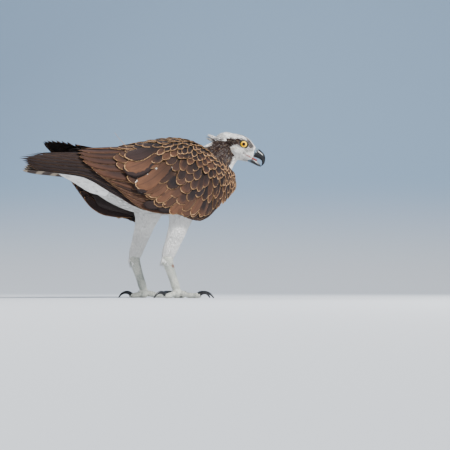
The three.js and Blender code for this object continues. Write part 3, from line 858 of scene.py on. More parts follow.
@dataclass(frozen=True)
class PlumeFinish:
    """Feathers: a light and a dark colour, a pale edge, a dark middle, a shaft and fine barbs.

    Attributes:
        name: the material's name.
        light: colour at tone 0.
        dark: colour at tone 1.
        edge: the pale fringe's colour.
        core: colour of the middle and the shaft.
        rust: what a warm feather's light colour turns to.
        rim: width of the fringe, in millimetres.
        barbs: depth of the barbs, in metres.
        bars: how fast pale bars follow each other along the feather, or 0 for none.
        vary: how much feathers differ in lightness.
        sheen: strength of the soft sheen.
        shadow: how much painted shade darkens the feather towards its root, where the feathers over it would
            shade it.
    """

    name: str
    light: Colour
    dark: Colour
    edge: Colour
    core: Colour
    rust: Colour = (0.12, 0.045, 0.02, 1.0)
    rim: float = 1.0
    barbs: float = 0.00012
    bars: float = 0.0
    vary: float = 0.2
    sheen: float = 0.1
    shadow: float = 0.0

    def build(self) -> bpy.types.Material:
        """Makes the material from the piece's own numbers.

        Returns:
            The material.
        """
        n = Nodes(self.name)
        across, along, pick, fringe = map(n.attribute, ("across", "along", "pick", "fringe"))
        width = n.maths("ABSOLUTE", across)
        streak = n.noise(n.vector(n.times(across, 3.0), n.times(along, 0.9), n.times(pick, 90.0)), 5.0, 4.0)
        base = n.blend(n.attribute("warm"), self.light, self.rust)
        base = n.blend(n.attribute("tone"), base, self.dark)
        if self.bars:
            wave = n.maths("SINE", n.times(along, self.bars))
            band = n.step(n.plus(wave, n.times(streak, 0.8)), 0.5, 1.0)
            base = n.blend(n.times(band, 0.55), base, self.edge)
        uneven_rim = n.plus(n.attribute("rim"), n.step(streak, 0.3, 0.7, self.rim * 0.5, -self.rim * 0.5))
        near_edge = n.step(uneven_rim, self.rim * 1.3, self.rim * 0.7)
        middle = n.times(n.step(width, 0.95, 0.3), n.step(along, 0.97, 0.72))
        base = n.blend(n.times(middle, n.attribute("core")), base, self.core)
        base = n.blend(n.times(near_edge, fringe), base, self.edge)
        base = n.blend(n.step(n.attribute("notch"), 0.3, 0.6), base, NOTCH)
        shaft = n.times(n.step(width, 0.09, 0.03), 0.35)
        base = n.blend(n.times(shaft, fringe), base, self.core)
        grain = self.vary * 0.8
        shade = n.plus(
            n.step(pick, 0.0, 1.0, 1 - self.vary, 1 + self.vary / 2), n.step(streak, 0.2, 0.8, -grain, grain)
        )
        # Painted shade: the colour darkens towards the root, where other feathers lie over it.
        shade = n.times(shade, n.step(along, 0.2, 0.7, 1 - self.shadow, 1.0))
        line = n.plus(n.times(width, 55.0), n.times(along, -70.0))
        height = n.plus(n.maths("SINE", line), n.times(streak, 3.0))
        more = {"Specular_IOR_Level": 0.16, "Sheen_Weight": self.sheen, "Sheen_Roughness": 0.5}
        n.surface(n.shaded(base, shade), 0.7, (height, self.barbs), **more)
        return n.material


@dataclass(frozen=True)
class SkinFinish:
    """The skin under the plumage, light or dark as its tone says."""

    name: str
    light: Colour
    dark: Colour

    def build(self) -> bpy.types.Material:
        """Makes the material from the piece's own tone, with a mottle.

        Returns:
            The material.
        """
        n = Nodes(self.name)
        mottle = n.noise(n.object_place(), 220.0, 4.0)
        base = n.blend(n.attribute("tone"), self.light, self.dark)
        n.surface(n.shaded(base, n.step(mottle, 0.2, 0.8, 0.75, 1.05)), 0.85, (mottle, 0.0006))
        return n.material


@dataclass(frozen=True)
class ScaleFinish:
    """Bare leg: small scales with dark seams, and broad plates on the toes' tops and the shank's front.

    Attributes:
        name: the material's name.
        light: colour of most scales.
        dark: colour of the stains.
        size: scales in a metre.
        plate: length of a broad plate, in millimetres.
    """

    name: str
    light: Colour
    dark: Colour
    size: float = 420.0
    plate: float = 4.4

    def build(self) -> bpy.types.Material:
        """Makes the material from cells on the leg's own place, and from its reach, front and mark.

        Returns:
            The material.
        """
        n = Nodes(self.name)
        place = n.object_place()
        cells = n.new("ShaderNodeTexVoronoi", feature="DISTANCE_TO_EDGE")
        n.feed(place, cells.inputs["Vector"])
        n.feed(self.size, cells.inputs["Scale"])
        seam = n.step(cells.outputs["Distance"], 0.02, 0.16)
        stain = n.noise(place, 60.0, 5.0)
        base = n.blend(n.step(stain, 0.35, 0.75), self.light, self.dark)
        base = n.blend(n.times(n.maths("SUBTRACT", 1.0, seam), 0.5), base, srgb(92, 90, 82))
        wave = n.maths("ABSOLUTE", n.maths("SINE", n.times(n.attribute("reach"), math.pi / self.plate)))
        gap = n.times(n.maths("SUBTRACT", 1.0, n.step(wave, 0.04, 0.4)), n.attribute("front"))
        base = n.blend(n.times(gap, 0.65), base, srgb(104, 106, 100))
        base = n.blend(n.attribute("mark"), base, srgb(110, 62, 40))
        height = n.plus(n.maths("SUBTRACT", seam, n.times(gap, 2.0)), n.times(stain, 0.4))
        n.surface(base, 0.6, (height, 0.0005), Specular_IOR_Level=0.4)
        return n.material


@dataclass(frozen=True)
class HornFinish:
    """Bill and claws: black horn with fine growth lines, and a bare cere where the piece says so."""

    name: str
    horn: Colour
    cere: Colour
    roughness: float = 0.3

    def build(self) -> bpy.types.Material:
        """Makes the material from the piece's own cere and pale numbers.

        Returns:
            The material.
        """
        n = Nodes(self.name)
        place = n.object_place()
        fine, broad = n.noise(place, 900.0, 4.0), n.noise(place, 150.0, 3.0)
        base = n.blend(n.step(broad, 0.4, 0.8), self.horn, srgb(30, 32, 38))
        base = n.blend(n.attribute("cere"), base, self.cere)
        base = n.blend(n.attribute("pale"), base, srgb(196, 196, 190))
        rough = n.step(fine, 0.2, 0.8, self.roughness, self.roughness + 0.1)
        rough = n.plus(n.times(n.attribute("cere"), 0.3), rough)
        height = n.plus(fine, n.times(broad, 2.0))
        more = {"Specular_IOR_Level": 0.35, "Coat_Weight": 0.12, "Coat_Roughness": 0.1}
        n.surface(base, rough, (height, 0.00012), **more)
        return n.material


@dataclass(frozen=True)
class EyeFinish:
    """Eye: round black pupil, yellow iris with fine rays and a dark rim, under a clear gloss."""

    name: str
    pupil: float
    iris: float

    def build(self) -> bpy.types.Material:
        """Makes the material from the eye's own radius, in millimetres from its axis, and its turn.

        Returns:
            The material.
        """
        n = Nodes(self.name)
        radius = n.attribute("radius")
        rays = n.new("ShaderNodeTexNoise", noise_dimensions="1D")
        n.feed(n.times(n.attribute("turn"), 24.0), rays.inputs["W"])
        n.feed(2.0, rays.inputs["Scale"])
        yellow = n.blend(rays.outputs["Fac"], srgb(255, 200, 0), srgb(255, 228, 24))
        orange = n.blend(n.step(radius, self.pupil, self.iris), srgb(248, 170, 0), yellow)
        base = n.blend(n.step(radius, self.pupil - 0.15, self.pupil + 0.15), srgb(6, 6, 8), orange)
        base = n.blend(n.step(radius, self.iris - 0.5, self.iris + 0.2), base, srgb(14, 12, 12))
        coat = {"Coat_Weight": 1.0, "Coat_IOR": 1.28, "Coat_Roughness": 0.02}
        n.surface(base, 0.5, None, Specular_IOR_Level=0.05, **coat)
        return n.material


@dataclass(frozen=True)
class SoftFinish:
    """A plain wet or leathery surface with a fine mottle, such as the lids and the mouth's lining."""

    name: str
    colour: Colour
    deep: Colour
    roughness: float

    def build(self) -> bpy.types.Material:
        """Makes the material from noise on the piece's own place.

        Returns:
            The material.
        """
        n = Nodes(self.name)
        mottle = n.noise(n.object_place(), 700.0, 4.0)
        n.surface(n.blend(mottle, self.colour, self.deep), self.roughness, (mottle, 0.0002))
        return n.material


WHITE = srgb(246, 244, 240)
NOTCH = srgb(236, 228, 216)
UMBER = srgb(38, 25, 23)
WHITE_PLUMES = PlumeFinish(
    "white_plumage", WHITE, srgb(62, 46, 38), WHITE, srgb(70, 56, 48), barbs=0.00006, vary=0.05
)
HEAD_PLUMES = PlumeFinish(
    "head_plumage", srgb(250, 247, 242), srgb(44, 29, 24), srgb(206, 176, 140), srgb(30, 20, 18),
    rim=0.45, barbs=0.00005, vary=0.06, sheen=0.0,
)
SCALY_PLUMES = PlumeFinish(
    "covert_plumage", srgb(94, 62, 42), UMBER, srgb(212, 166, 118), srgb(24, 15, 16),
    rim=1.3, vary=0.28, sheen=0.04, shadow=0.55,
)
QUILL_PLUMES = PlumeFinish(
    "quill_plumage", srgb(88, 59, 42), srgb(28, 19, 20), srgb(190, 144, 100), srgb(30, 20, 21),
    rim=0.8, vary=0.26, sheen=0.04,
)
TAIL_PLUMES = PlumeFinish(
    "tail_plumage", srgb(112, 86, 68), srgb(52, 40, 36), srgb(206, 188, 164), UMBER, bars=40.0, sheen=0.04
)


def dress(piece: bpy.types.Object, material: bpy.types.Material, slot: str, *nodes: str) -> None:
    """Gives a piece its material, rides it on the root and hides the solids that it stands for.

    Args:
        piece: the object.
        material: its only material.
        slot: the slot it belongs to; not used.
        nodes: the solids that it replaces, if any.
    """
    piece.data.materials.clear()
    piece.data.materials.append(material)
    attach(piece, "root")
    if nodes:
        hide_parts(*nodes)
    LOG.info("%s: %d faces", piece.name, len(piece.data.polygons))


@dataclass
class Part:
    """A sub-assembly: the studio where it is made, and a seeded generator of its own."""

    seed: ClassVar[int] = SEED
    studio: Studio
    rng: np.random.Generator = field(init=False)

    def __post_init__(self) -> None:
        """Starts the generator."""
        self.rng = np.random.default_rng(self.seed)

    def plumage(
        self,
        name: str,
        groups: Sequence[tuple[Patch, Feathers, VaneForm]],
        material: bpy.types.Material,
        slot: str,
        *nodes: str,
    ) -> None:
        """Makes one joined mesh of feathers, with the numbers that its finish reads, and dresses it.

        Args:
            name: the piece's name.
            groups: patches with the feathers on them and their cut.
            material: its material.
            slot: the slot it belongs to.
            nodes: the solids that it replaces, if any.
        """
        parts, numbers, places = zip(*(vane_arrays(*group, self.rng) for group in groups))
        piece = self.studio.mesh(name, joined(parts))
        add_floats(piece, **{key: np.concatenate([each[key] for each in numbers]) for key in numbers[0]})
        add_map(piece, "OFBake", np.concatenate(places))
        dress(piece, material, slot, *nodes)


def spot(x: Array, z: Array, at: tuple[float, float], size: tuple[float, float], turn: float = 0.0) -> Array:
    """A soft-edged oval mark.

    Args:
        x: first coordinate.
        z: second coordinate.
        at: the mark's middle.
        size: its half lengths.
        turn: how far it is turned, in degrees.

    Returns:
        1 in its middle and 0 outside.
    """
    c, s = math.cos(math.radians(turn)), math.sin(math.radians(turn))
    dx, dz = x - at[0], z - at[1]
    far = np.hypot((dx * c + dz * s) / size[0], (dz * c - dx * s) / size[1])
    return 1 - smooth_step(far, 0.75, 1.15)


def head_tone(points: Array) -> Array:
    """How dark the head's plumage is.

    A brown stripe runs from the eye back over the ear and widens down the side of the neck. A dark mark
    starts on top of the forehead and runs down to the lores, and the nape has two dark patches.

    Args:
        points: places in the head's own frame.

    Returns:
        From 0, white, to 1, brown.
    """
    x, y, z = points[..., 0], np.abs(points[..., 1]), points[..., 2]
    upper = np.interp(x, [-60, -47, -36, -31, -27, -18, -11, -5, 2], [-5, -5, -6.5, -4, 2.5, 6, 4.5, 7.5, 8])
    lower = np.interp(x, [-26, -24.5, -22.5, -14.5, -9.2, -7.5, 4], [-60, -26, -18, -13.8, -9.8, -6.5, -6.5])
    stripe = smooth_step(upper - z, -1, 1) * smooth_step(z - lower, -1, 1) * smooth_step(3.5 - x, 0, 3)
    sides = smooth_step(y, 2, 5)
    before_eye, above_gape = spot(x, z, (12.5, 5.0), (9.5, 4.2), -42), spot(x, z, (17.5, -0.5), (5, 3.4), -20)
    lores = np.maximum(before_eye, above_gape) * 0.9
    streak = spot(x, y, (0, 5.5), (9.0, 3.0), 14) * smooth_step(z, 6, 10) * 0.9
    ring = spot(x, z, (EYE_AT[0] + 0.4, 0.0), (10.0, 9.2)) * 0.95
    brow = spot(x, z, (-8.5, 14.5), (2.6, 1.6)) * 0.5
    white = spot(x, z, (-60, -15.5), (9, 5.5)) * sides
    dark = np.maximum.reduce([stripe * sides, lores * sides, streak, ring * sides, brow * sides])
    return np.clip(dark * (1 - white), 0, 1)


def head_grey(points: Array) -> Array:
    """How grey and bristly the face is: before and under the eye, along the gape and on the chin.

    Args:
        points: places in the head's own frame.

    Returns:
        From 0 to 1.
    """
    x, y, z = points[..., 0], np.abs(points[..., 1]), points[..., 2]
    lores = spot(x, z, (15.5, -8.0), (9.5, 5.0), 15)
    gape = spot(x, z, (11, -16), (3.5, 2.2))
    chin = spot(x, z, (19, -27), (9, 3.5))
    return np.clip(np.maximum.reduce([lores * 0.75, gape, chin * 0.8]) * smooth_step(y, 2, 5), 0, 1)


def head_buff(points: Array) -> Array:
    """How buff the plumage is: a line under the stripe, the ends of the crown and the throat's streaks.

    Args:
        points: places in the head's own frame.

    Returns:
        From 0 to 1.
    """
    x, y, z = points[..., 0], np.abs(points[..., 1]), points[..., 2]
    line = spot(x, z, (-8, -13.5), (9.5, 1.9), 22)
    crown = smooth_step(-x, 36, 58) * smooth_step(z, -8, 2)
    return np.clip(np.maximum(line, crown * 0.7) * smooth_step(y, 1, 4), 0, 1)


@dataclass
class Body(Part):
    """Torso, neck, head and feathered legs: the one skin and the coat over it."""

    belly_tufts: int = 8500
    mantle_tufts: int = 1500
    vent_plumes: tuple[int, int] = (900, 420)
    neck_tufts: int = 6800
    leg_tufts: int = 6400

    def leg(self, side: Side) -> Patch:
        """The skin of a feathered leg, from hip to ankle."""
        path = Track([[share, *place] for share, place in zip((0, 0.45, 1), LEG_LINES[side])])
        rows = [[*(float(value) for value in path(np.array(row[0]))), *row[1:]] for row in THIGH]
        return limb_patch(rows, (1, 0, 0), LEG_DEPTH)

    def tone_at(self, points: Array) -> Array:
        """How dark the coat is: brown above, white below, and the head's own marks.

        Args:
            points: places in the bird's frame.

        Returns:
            From 0, white, to 1, brown.
        """
        own = to_head(points)
        ridge = np.interp(points[..., 0], [-230, -120, 40, 110, 150, 190], [246, 258, 262, 262, 258, 262])
        back = smooth_step(points[..., 2] - ridge, -5, 4)
        return mix(back, head_tone(own), smooth_step(own[..., 0], -62, -50))

    def build_skin(self) -> None:
        """One closed surface under the coat, from head to tail and down to the ankles."""
        parts = [
            tube_parts(body_patch(TORSO, 133, -172), 48, 60),
            tube_parts(body_patch(VENT, -120, -226, 1.0), 32, 30),
            tube_parts(limb_patch(NECK, (0, 0, 1), BODY_DEPTH), 36, 30),
            tube_parts(head_patch(), 48, 60),
            *(tube_parts(self.leg(side), 28, 30) for side in Side),
        ]
        skin = self.studio.fused("skin", parts, 2.0, 6)
        add_floats(skin, tone=self.tone_at((read_vertices(skin) - self.studio.shift) / MM))
        finish = SkinFinish("skin_under_plumage", srgb(238, 234, 226), srgb(58, 42, 34)).build()
        dress(skin, finish, "body_down", "torso", "neck", "thigh_left", "thigh_right")

    def coat_on(
        self,
        patch: Patch,
        count: int,
        size: tuple[float, float],
        keep: Surface,
        lift: tuple[float, float],
        turn: float = 0.1,
    ) -> Feathers:
        """Tufts scattered over a patch, lying towards growing s.

        Args:
            patch: the surface.
            count: how many to aim for.
            size: length and width, in millimetres.
            keep: chance of keeping a place.
            lift: height at the root and at the tip.
            turn: how far they stray to the side, as a share of their length.

        Returns:
            The feathers, with the coat's tone.
        """
        s, a = patch.scatter(count, self.rng, keep)
        point, _, by_s, by_a = patch.frame(s, a)
        long = size[0] * self.rng.uniform(0.75, 1.25, s.size)
        stray = long * turn * self.rng.standard_normal(s.size)
        tip = stacked(s + long / length(by_s), a + stray / length(by_a))
        tone = about(self.rng, s.size, self.tone_at(point), 0.06)
        width = size[1] * self.rng.uniform(0.75, 1.25, s.size)
        return feathers(stacked(s, a), tip, width, lift, tone=tone, point=0.2)

    def build_torso_coat(self) -> None:
        """Belly and breast, the vent's longer plumes, and the mantle between the wings."""
        torso, vent = body_patch(TORSO, 133, -172), body_patch(VENT, -120, -226, 1.0)
        belly = self.coat_on(torso, self.belly_tufts, (18, 5.4), lambda s, a: np.abs(a) > 1.0, (-0.4, 1.5))
        white = WHITE_PLUMES.build()
        self.plumage("belly_coat", [(torso, belly, HAIR)], white, "body_down")
        below, above = self.vent_plumes
        under = self.coat_on(vent, below, (34, 13), lambda s, a: np.abs(a) > 1.5, (-1.0, 3.4))
        over = self.coat_on(vent, above, (32, 15), lambda s, a: np.abs(a) < 1.6, (-1.0, 3.2), 0.08)
        self.plumage("vent_coat", [(vent, under, PLUME), (vent, over, PLUME)], white, "body_down")
        count = self.mantle_tufts
        mantle = self.coat_on(torso, count, (26, 15), lambda s, a: np.abs(a) < 1.0, (-0.8, 4.0), 0.06)
        mantle = mantle._replace(fringe=mantle.fringe + 0.4, core=mantle.core + 0.5)
        self.plumage("mantle_coat", [(torso, mantle, PLUME)], SCALY_PLUMES.build(), "wing_feathers")

    def build_neck_coat(self) -> None:
        """The neck, brown at the sides and back and white at the throat, flattened near the breast."""
        neck = limb_patch(NECK[::-1], (0, 0, 1), BODY_DEPTH)
        birds = self.coat_on(neck, self.neck_tufts, (15, 3.4), lambda s, a: a == a, (-0.4, 2.0), 0.16)
        birds.lift[:, 1] *= 1 - 0.6 * smooth_step(birds.root[:, 0], 0.55, 0.9)
        own = to_head(neck.place(*birds.root.T))
        side = np.abs(birds.root[:, 1])
        dark = smooth_step(2.05 - side, -0.12, 0.12)
        white_patch = smooth_step(10 - np.hypot(own[:, 0] + 62, own[:, 2] + 19), 0, 5)
        tone = about(self.rng, side.size, dark * (1 - 0.9 * white_patch), 0.04)
        buff = 0.5 * (self.rng.uniform(0, 1, side.size) > 0.9) * dark
        birds = birds._replace(tone=tone, fringe=buff)
        self.plumage("neck_coat", [(neck, birds, TUFT)], HEAD_PLUMES.build(), "body_down")

    def build(self) -> None:
        """Skin first, then each part of the coat."""
        self.build_skin()
        self.build_torso_coat()
        self.build_neck_coat()
        for side in Side:
            leg = self.leg(side)
            count = self.leg_tufts
            birds = self.coat_on(leg, count, (15, 3.2), lambda s, a: (s > 0.02) & (s < 0.93), (-0.5, 1.7))
            birds.lift[:, 1] *= 1 - 0.7 * smooth_step(birds.root[:, 0], 0.75, 0.93)
            self.plumage(f"trousers_{side.word}", [(leg, birds, HAIR)], WHITE_PLUMES.build(), "body_down")


@dataclass
class Head(Part):
    """Face and crest, eyes with their lids, and the bill with its open mouth.

    The bill's rows are x, top z, bottom z and half width, and the hook's are x, z, half height and half
    width, all in the head's own frame.
    """

    seed: ClassVar[int] = SEED + 1
    eye_forward: float = 12.0
    iris: float = 6.3
    pupil: float = 3.3
    locks: int = 420
    lining_x: tuple[float, float] = (10.5, 33.0)
    nostril: tuple[float, float] = (28.5, -4.6)
    bill_upper: Rows = (
        (14, 0, -16.2, 9), (24, 2.2, -16.5, 9.6), (31, 1.4, -16.3, 8.6),
        (38, -1.4, -17, 7), (43.5, -4.6, -19.2, 5.6),
    )
    bill_hook: Rows = ((46.8, -17.5, 3.8, 3.6), (47.7, -23.0, 2.6, 2.4), (46.4, -28.8, 0.7, 0.7))
    bill_lower: Rows = (
        (12, -19.2, -28.5, 8.4), (20, -20, -29.6, 8.2), (29, -21.6, -30.2, 6.8),
        (37, -24.2, -31.2, 5), (43.6, -27.4, -31, 2.8), (45.6, -29.2, -30.4, 1),
    )

    def build_face(self) -> None:
        """Small feathers from the bill back over the crown, cheeks and throat, and the nape's loose locks."""
        skin = head_patch()
        backwards = Patch(lambda s, a: skin.place(-s, a), lambda s: skin.middle(-s), (-25.5, 60.0))

        def keep(s: Array, a: Array) -> Array:
            """Everywhere but on the eye and in the open mouth."""
            own = to_head(backwards.place(s, a))
            clear = np.hypot((own[:, 0] - EYE_AT[0]) / 1.1, own[:, 2] - EYE_AT[2]) > 7.4
            ahead = own[:, 0] - 10.0
            return clear & ~((ahead > 0) & (np.abs(own[:, 2] + 17.9 + 0.12 * ahead) < 0.9 + 0.17 * ahead))

        for name, count, (long, wide), lift, (low, high), form, nodes in (
            ("face_coat", 13000, (4.4, 1.25), 0.8, (-25.5, 6), BRISTLE, ["head"]),
            ("crown_coat", 9500, (10.0, 2.0), 1.1, (-2, 60), HAIR, []),
        ):
            s, a = backwards.scatter(count, self.rng, keep)
            inside = (s > low) & (s < high)
            s, a = s[inside], a[inside]
            count = s.size
            point, _, by_s, by_a = backwards.frame(s, a)
            own = to_head(point)
            reach = long * self.rng.uniform(0.75, 1.25, count)
            drop = 0.12 * self.rng.standard_normal(count) + 0.45 * np.sign(a) * smooth_step(-own[:, 2], 8, 26)
            tip = stacked(s + reach / length(by_s), a + reach * drop / length(by_a))
            tone = head_tone(own) + head_grey(own) * self.rng.uniform(0.3, 1.0, count)
            streaks = smooth_step(-own[:, 2], 20, 30) * (self.rng.uniform(0, 1, count) > 0.86) * 0.4
            tone = about(self.rng, count, tone + streaks, 0.05)
            buff = head_buff(own) * self.rng.uniform(0.2, 1.0, count)
            buff = np.clip((buff + 0.15 * (self.rng.uniform(0, 1, count) > 0.9)) * 1.4, 0, 1)
            width = wide * self.rng.uniform(0.8, 1.2, count)
            birds = feathers(stacked(s, a), tip, width, (-0.3, lift), tone=tone, fringe=buff, point=0.2)
            self.plumage(name, [(backwards, birds, form)], HEAD_PLUMES.build(), "head_feathers", *nodes)
        self.build_crest(backwards)

    def build_crest(self, skin: Patch) -> None:
        """Ragged locks that stand off the nape and lie back along the neck, white above and dark below.

        Args:
            skin: the head's patch, running backwards.
        """
        count = self.locks
        s = self.rng.uniform(26, 57, count)
        a = self.rng.uniform(-1.7, 1.7, count)
        long = self.rng.uniform(13, 26, count) + 9 * smooth_step(s, 38, 54)
        by_s = skin.frame(s, a)[2]
        own = to_head(skin.place(s, a)) - np.array([6.0, 0, 0])
        dark = head_tone(own) * (self.rng.uniform(0, 1, count) > 0.12)
        tone = about(self.rng, count, dark, 0.06)
        tip = stacked(s + long / length(by_s, 0.6), a * self.rng.uniform(0.85, 1.1, count))
        buff = np.clip(head_buff(own) * self.rng.uniform(0.3, 1.2, count), 0, 1)
        high, low = self.rng.uniform(1.8, 5.0, count), self.rng.uniform(1.2, 2.8, count)
        lift = (-0.6, np.where(np.abs(a) < 1.1, high, low))
        width = self.rng.uniform(1.8, 3.4, count)
        birds = feathers(stacked(s, a), tip, width, lift, tone=tone, fringe=buff, point=0.8)
        self.plumage("nape_crest", [(skin, birds, TUFT)], HEAD_PLUMES.build(), "head_feathers")

    def eye_frame(self, side: Side) -> tuple[Array, Array, Array]:
        """Where an eye lies and looks, in the head's own frame.

        Args:
            side: which eye.

        Returns:
            Its centre, the way it looks, and the way up across that.
        """
        turn = math.radians(self.eye_forward)
        axis = unit(np.array([math.sin(turn), side.value * math.cos(turn), 0.04]))
        over = unit(np.array([0.0, 0.0, 1.0]) - axis * axis[2])
        return EYE_AT * np.array([1, side.value, 1]), axis, over

    def build_eye(self, side: Side) -> None:
        """A ball whose rings run round the eye's axis, each with its distance from that axis.

        Args:
            side: which eye.
        """
        centre, axis, over = self.eye_frame(side)
        beside = np.cross(axis, over)

        def place(s: Array, a: Array) -> Array:
            """The ball, s being the angle from the axis."""
            s, a = s[..., None], a[..., None]
            ring = np.cos(a) * over + np.sin(a) * beside
            return from_head(centre + EYE_RADIUS * (np.cos(s) * axis + np.sin(s) * ring))

        middle = from_head(centre)
        parts = tube_parts(Patch(place, lambda s: middle + 0 * s[..., None], (0.01, math.pi - 0.01)), 48, 60)
        eye = self.studio.closed(f"eye_{side.word}_ball", parts)
        out = to_head(parts.vertices) - centre
        along = out @ axis
        radius = np.linalg.norm(out - along[:, None] * axis, axis=-1) + np.where(along < 0, 20.0, 0.0)
        add_floats(eye, radius=radius, turn=np.arctan2(out @ beside, out @ over) / math.pi + 1)
        dress(eye, EyeFinish("eye_gloss", self.pupil, self.iris).build(), "eye", f"eye_{side.word}")

    def build_lids(self, side: Side) -> None:
        """A thick dark rim round the eye: a ring whose tube is flattened, drawn to a corner fore and aft.

        The ring's radius is 7.3 mm, a little more fore and aft, and its upper half leans out under the brow.

        Args:
            side: which eye.
        """
        centre, axis, over = self.eye_frame(side)
        ahead = np.cross(over, axis) * side.value
        turns, around = 64, 12
        turn, a = np.meshgrid(
            np.linspace(0, 2 * math.pi, turns, endpoint=False),
            np.linspace(-math.pi, math.pi, around, endpoint=False),
            indexing="ij",
        )
        turn, a = turn[..., None], a[..., None]
        wide = 7.5 + 1.5 * np.abs(np.cos(turn)) ** 8 * (1 + 0.4 * np.cos(turn))
        high = 7.3 - 0.55 * (np.sin(turn) > 0) * np.sin(turn)
        ring = np.cos(turn) * ahead * wide + np.sin(turn) * over * high
        height = 4.3 + 0.7 * np.maximum(np.sin(turn), 0)
        tube = 1.55 * np.cos(a) * unit(ring) + (0.85 + 0.3 * (np.sin(turn) > 0)) * np.sin(a) * axis
        grid = from_head(centre + ring + height * axis + tube).reshape(-1, 3)
        index = np.arange(turns * around).reshape(turns, around)
        after = np.roll(index, -1, 0)
        quads = stacked(index, after, np.roll(after, -1, 1), np.roll(index, -1, 1)).reshape(-1, 4)
        lids = self.studio.closed(f"lids_{side.word}", MeshParts(grid, [quads]))
        dress(lids, SoftFinish("lid_rim", srgb(14, 11, 11), srgb(30, 24, 23), 0.5).build(), "head_feathers")

    def bill_patch(self, rows: Rows, hook: Rows, keel: float) -> Patch:
        """One half of the bill: ellipses whose centre line bends down into the hook.

        Args:
            rows: stations of x, top z, bottom z and half width.
            hook: further stations of x, z, half height and half width, which lean over.
            keel: the upper side is drawn in by this times the cosine squared, for the culmen's ridge.

        Returns:
            The patch.
        """
        stations = [(x, (top + low) / 2, 0.0, 1.0, (top - low) / 2, half) for x, top, low, half in rows]
        for i, (x, z, high, half) in enumerate(hook):
            lean = mix(0.75, 1.45, i / (len(hook) - 1))
            stations.append((x, z, math.sin(lean), math.cos(lean), high, half))
        track = Track(np.column_stack([np.linspace(0, 1, len(stations)), stations]))

        def place(s: Array, a: Array) -> Array:
            """The ellipse at s, turned to the way up there."""
            x, z, up_x, up_z, high, half = track(s)
            lift = np.cos(a) * high / np.hypot(up_x, up_z)
            narrow = 1 - keel * np.maximum(0, np.cos(a)) ** 2
            return from_head(stacked(x + lift * up_x, -np.sin(a) * half * narrow, z + lift * up_z))

        return Patch(place, lambda s: from_head(stacked(track(s)[0], 0, track(s)[1])))

    def build_bill(self) -> None:
        """Upper half with cere, nostrils and hook, lower half, and the red lining between them."""
        horn = HornFinish("horn", srgb(12, 13, 16), srgb(98, 114, 126)).build()
        for name, rows, hook, keel in (
            ("bill_upper", self.bill_upper, self.bill_hook, 0.25),
            ("bill_lower", self.bill_lower, (), 0.0),
        ):
            parts = tube_parts(self.bill_patch(rows, hook, keel), 56, 90)
            own = to_head(parts.vertices)
            x, y, z = own.T
            if hook:
                ahead = x - self.nostril[0]
                slit = np.exp(-((ahead / 2.6) ** 2) - ((z - self.nostril[1] + 0.5 * ahead) / 1.1) ** 2)
                step = smooth_step(x, 30.0, 32.5) * 0.5 * (np.abs(y) > 1)
                inward = stacked(0, -np.sign(y) * (slit * 2.4 + step), 0)
                parts = parts._replace(vertices=from_head(own + inward))
                cere, pale = 1 - smooth_step(x - 0.25 * z, 28.0, 31.0), x * 0
            else:
                cere = 1 - smooth_step(x, 17, 27)
                pale = smooth_step(z + 0.32 * x, -14.6, -13.4) * (1 - smooth_step(x, 33, 40)) * 0.8
            piece = self.studio.closed(name + "_horn", parts)
            add_floats(piece, cere=cere, pale=pale)
            dress(piece, horn, "bill", name)
        self.build_lining()

    def build_lining(self) -> None:
        """The mouth's red lining: a thin wedge from the gape forwards, between the two halves.

        At the gape it reaches the face's own half width, which at the height z of an ellipse of half height
        h and half width w is w * sqrt(1 - (z / h)**2). Further forward it draws in between the halves.
        """
        track = Track(HEAD)

        def place(s: Array, a: Array) -> Array:
            """The wedge's section, pinched to its two edges."""
            x = mix(*self.lining_x, s)
            top, bottom, wide = track(x)
            height = (-18.2 - (top + bottom) / 2) / ((top - bottom) / 2)
            face = wide * np.sqrt(np.maximum(0, 1 - height**2)) + 0.5
            half = mix(face, mix(9.0, 4.2, s), smooth_step(x, 19, 27))
            upper, lower = mix(-17.2, -18.0, s), mix(-18.6, -24.6, s)
            thick = 0.5 * (upper - lower) * np.cos(a) * (0.35 + 0.65 * np.abs(np.sin(a)))
            return from_head(stacked(x, -half * np.sin(a), (upper + lower) / 2 + thick))

        wedge = Patch(place, lambda s: from_head(stacked(mix(*self.lining_x, s), 0, -20)))
        lining = self.studio.closed("mouth_lining", tube_parts(wedge, 32, 30))
        dress(lining, SoftFinish("mouth_red", srgb(164, 44, 38), srgb(112, 20, 24), 0.3).build(), "bill")

    def build(self) -> None:
        """Face, crest, eyes, lids and bill."""
        self.build_face()
        for side in Side:
            self.build_eye(side)
            self.build_lids(side)
        self.build_bill()


class Long(NamedTuple):
    """One long feather as listed: root and tip as x and t, its width and colouring."""

    root: tuple[float, float]
    tip: tuple[float, float]
    width: float
    tone: float
    notch: float = 0.0
    fringe: float = 1.0


# Entries of tone 1.0 without a fringe are near-black feathers laid just beyond other feathers' edges as
# painted shadow.
LONG_COVERTS = (
    Long((0, 0.84), (-92, 0.995), 19, 1.0, fringe=0.0),
    Long((20, 0.86), (-62, 0.995), 20, 1.0, fringe=0.0),
    Long((60, 0.74), (12, 0.97), 21, 0.25),
    Long((42, 0.72), (-8, 0.95), 23, 0.15),
    Long((26, 0.72), (-36, 1.0), 25, 0.05, notch=0.6),
    Long((6, 0.72), (-52, 0.955), 23, 0.45),
    Long((2, 0.68), (-66, 0.92), 23, 0.12),
    Long((-8, 0.64), (-82, 0.885), 22, 0.2),
    Long((-16, 0.6), (-95, 0.865), 24, 0.12),
    Long((-22, 0.56), (-111, 0.86), 33, 1.0, fringe=0.0),
    Long((-20, 0.52), (-108, 0.83), 33, 0.06, notch=1.0),
    Long((-40, 0.4), (-130, 0.695), 33, 1.0, fringe=0.0),
    Long((-40, 0.36), (-127, 0.66), 32, 0.16),
    # Nearly black, on top: painted shade over the upper part of the large feather before it.
    Long((-30, 0.26), (-120, 0.47), 30, 0.95),
)


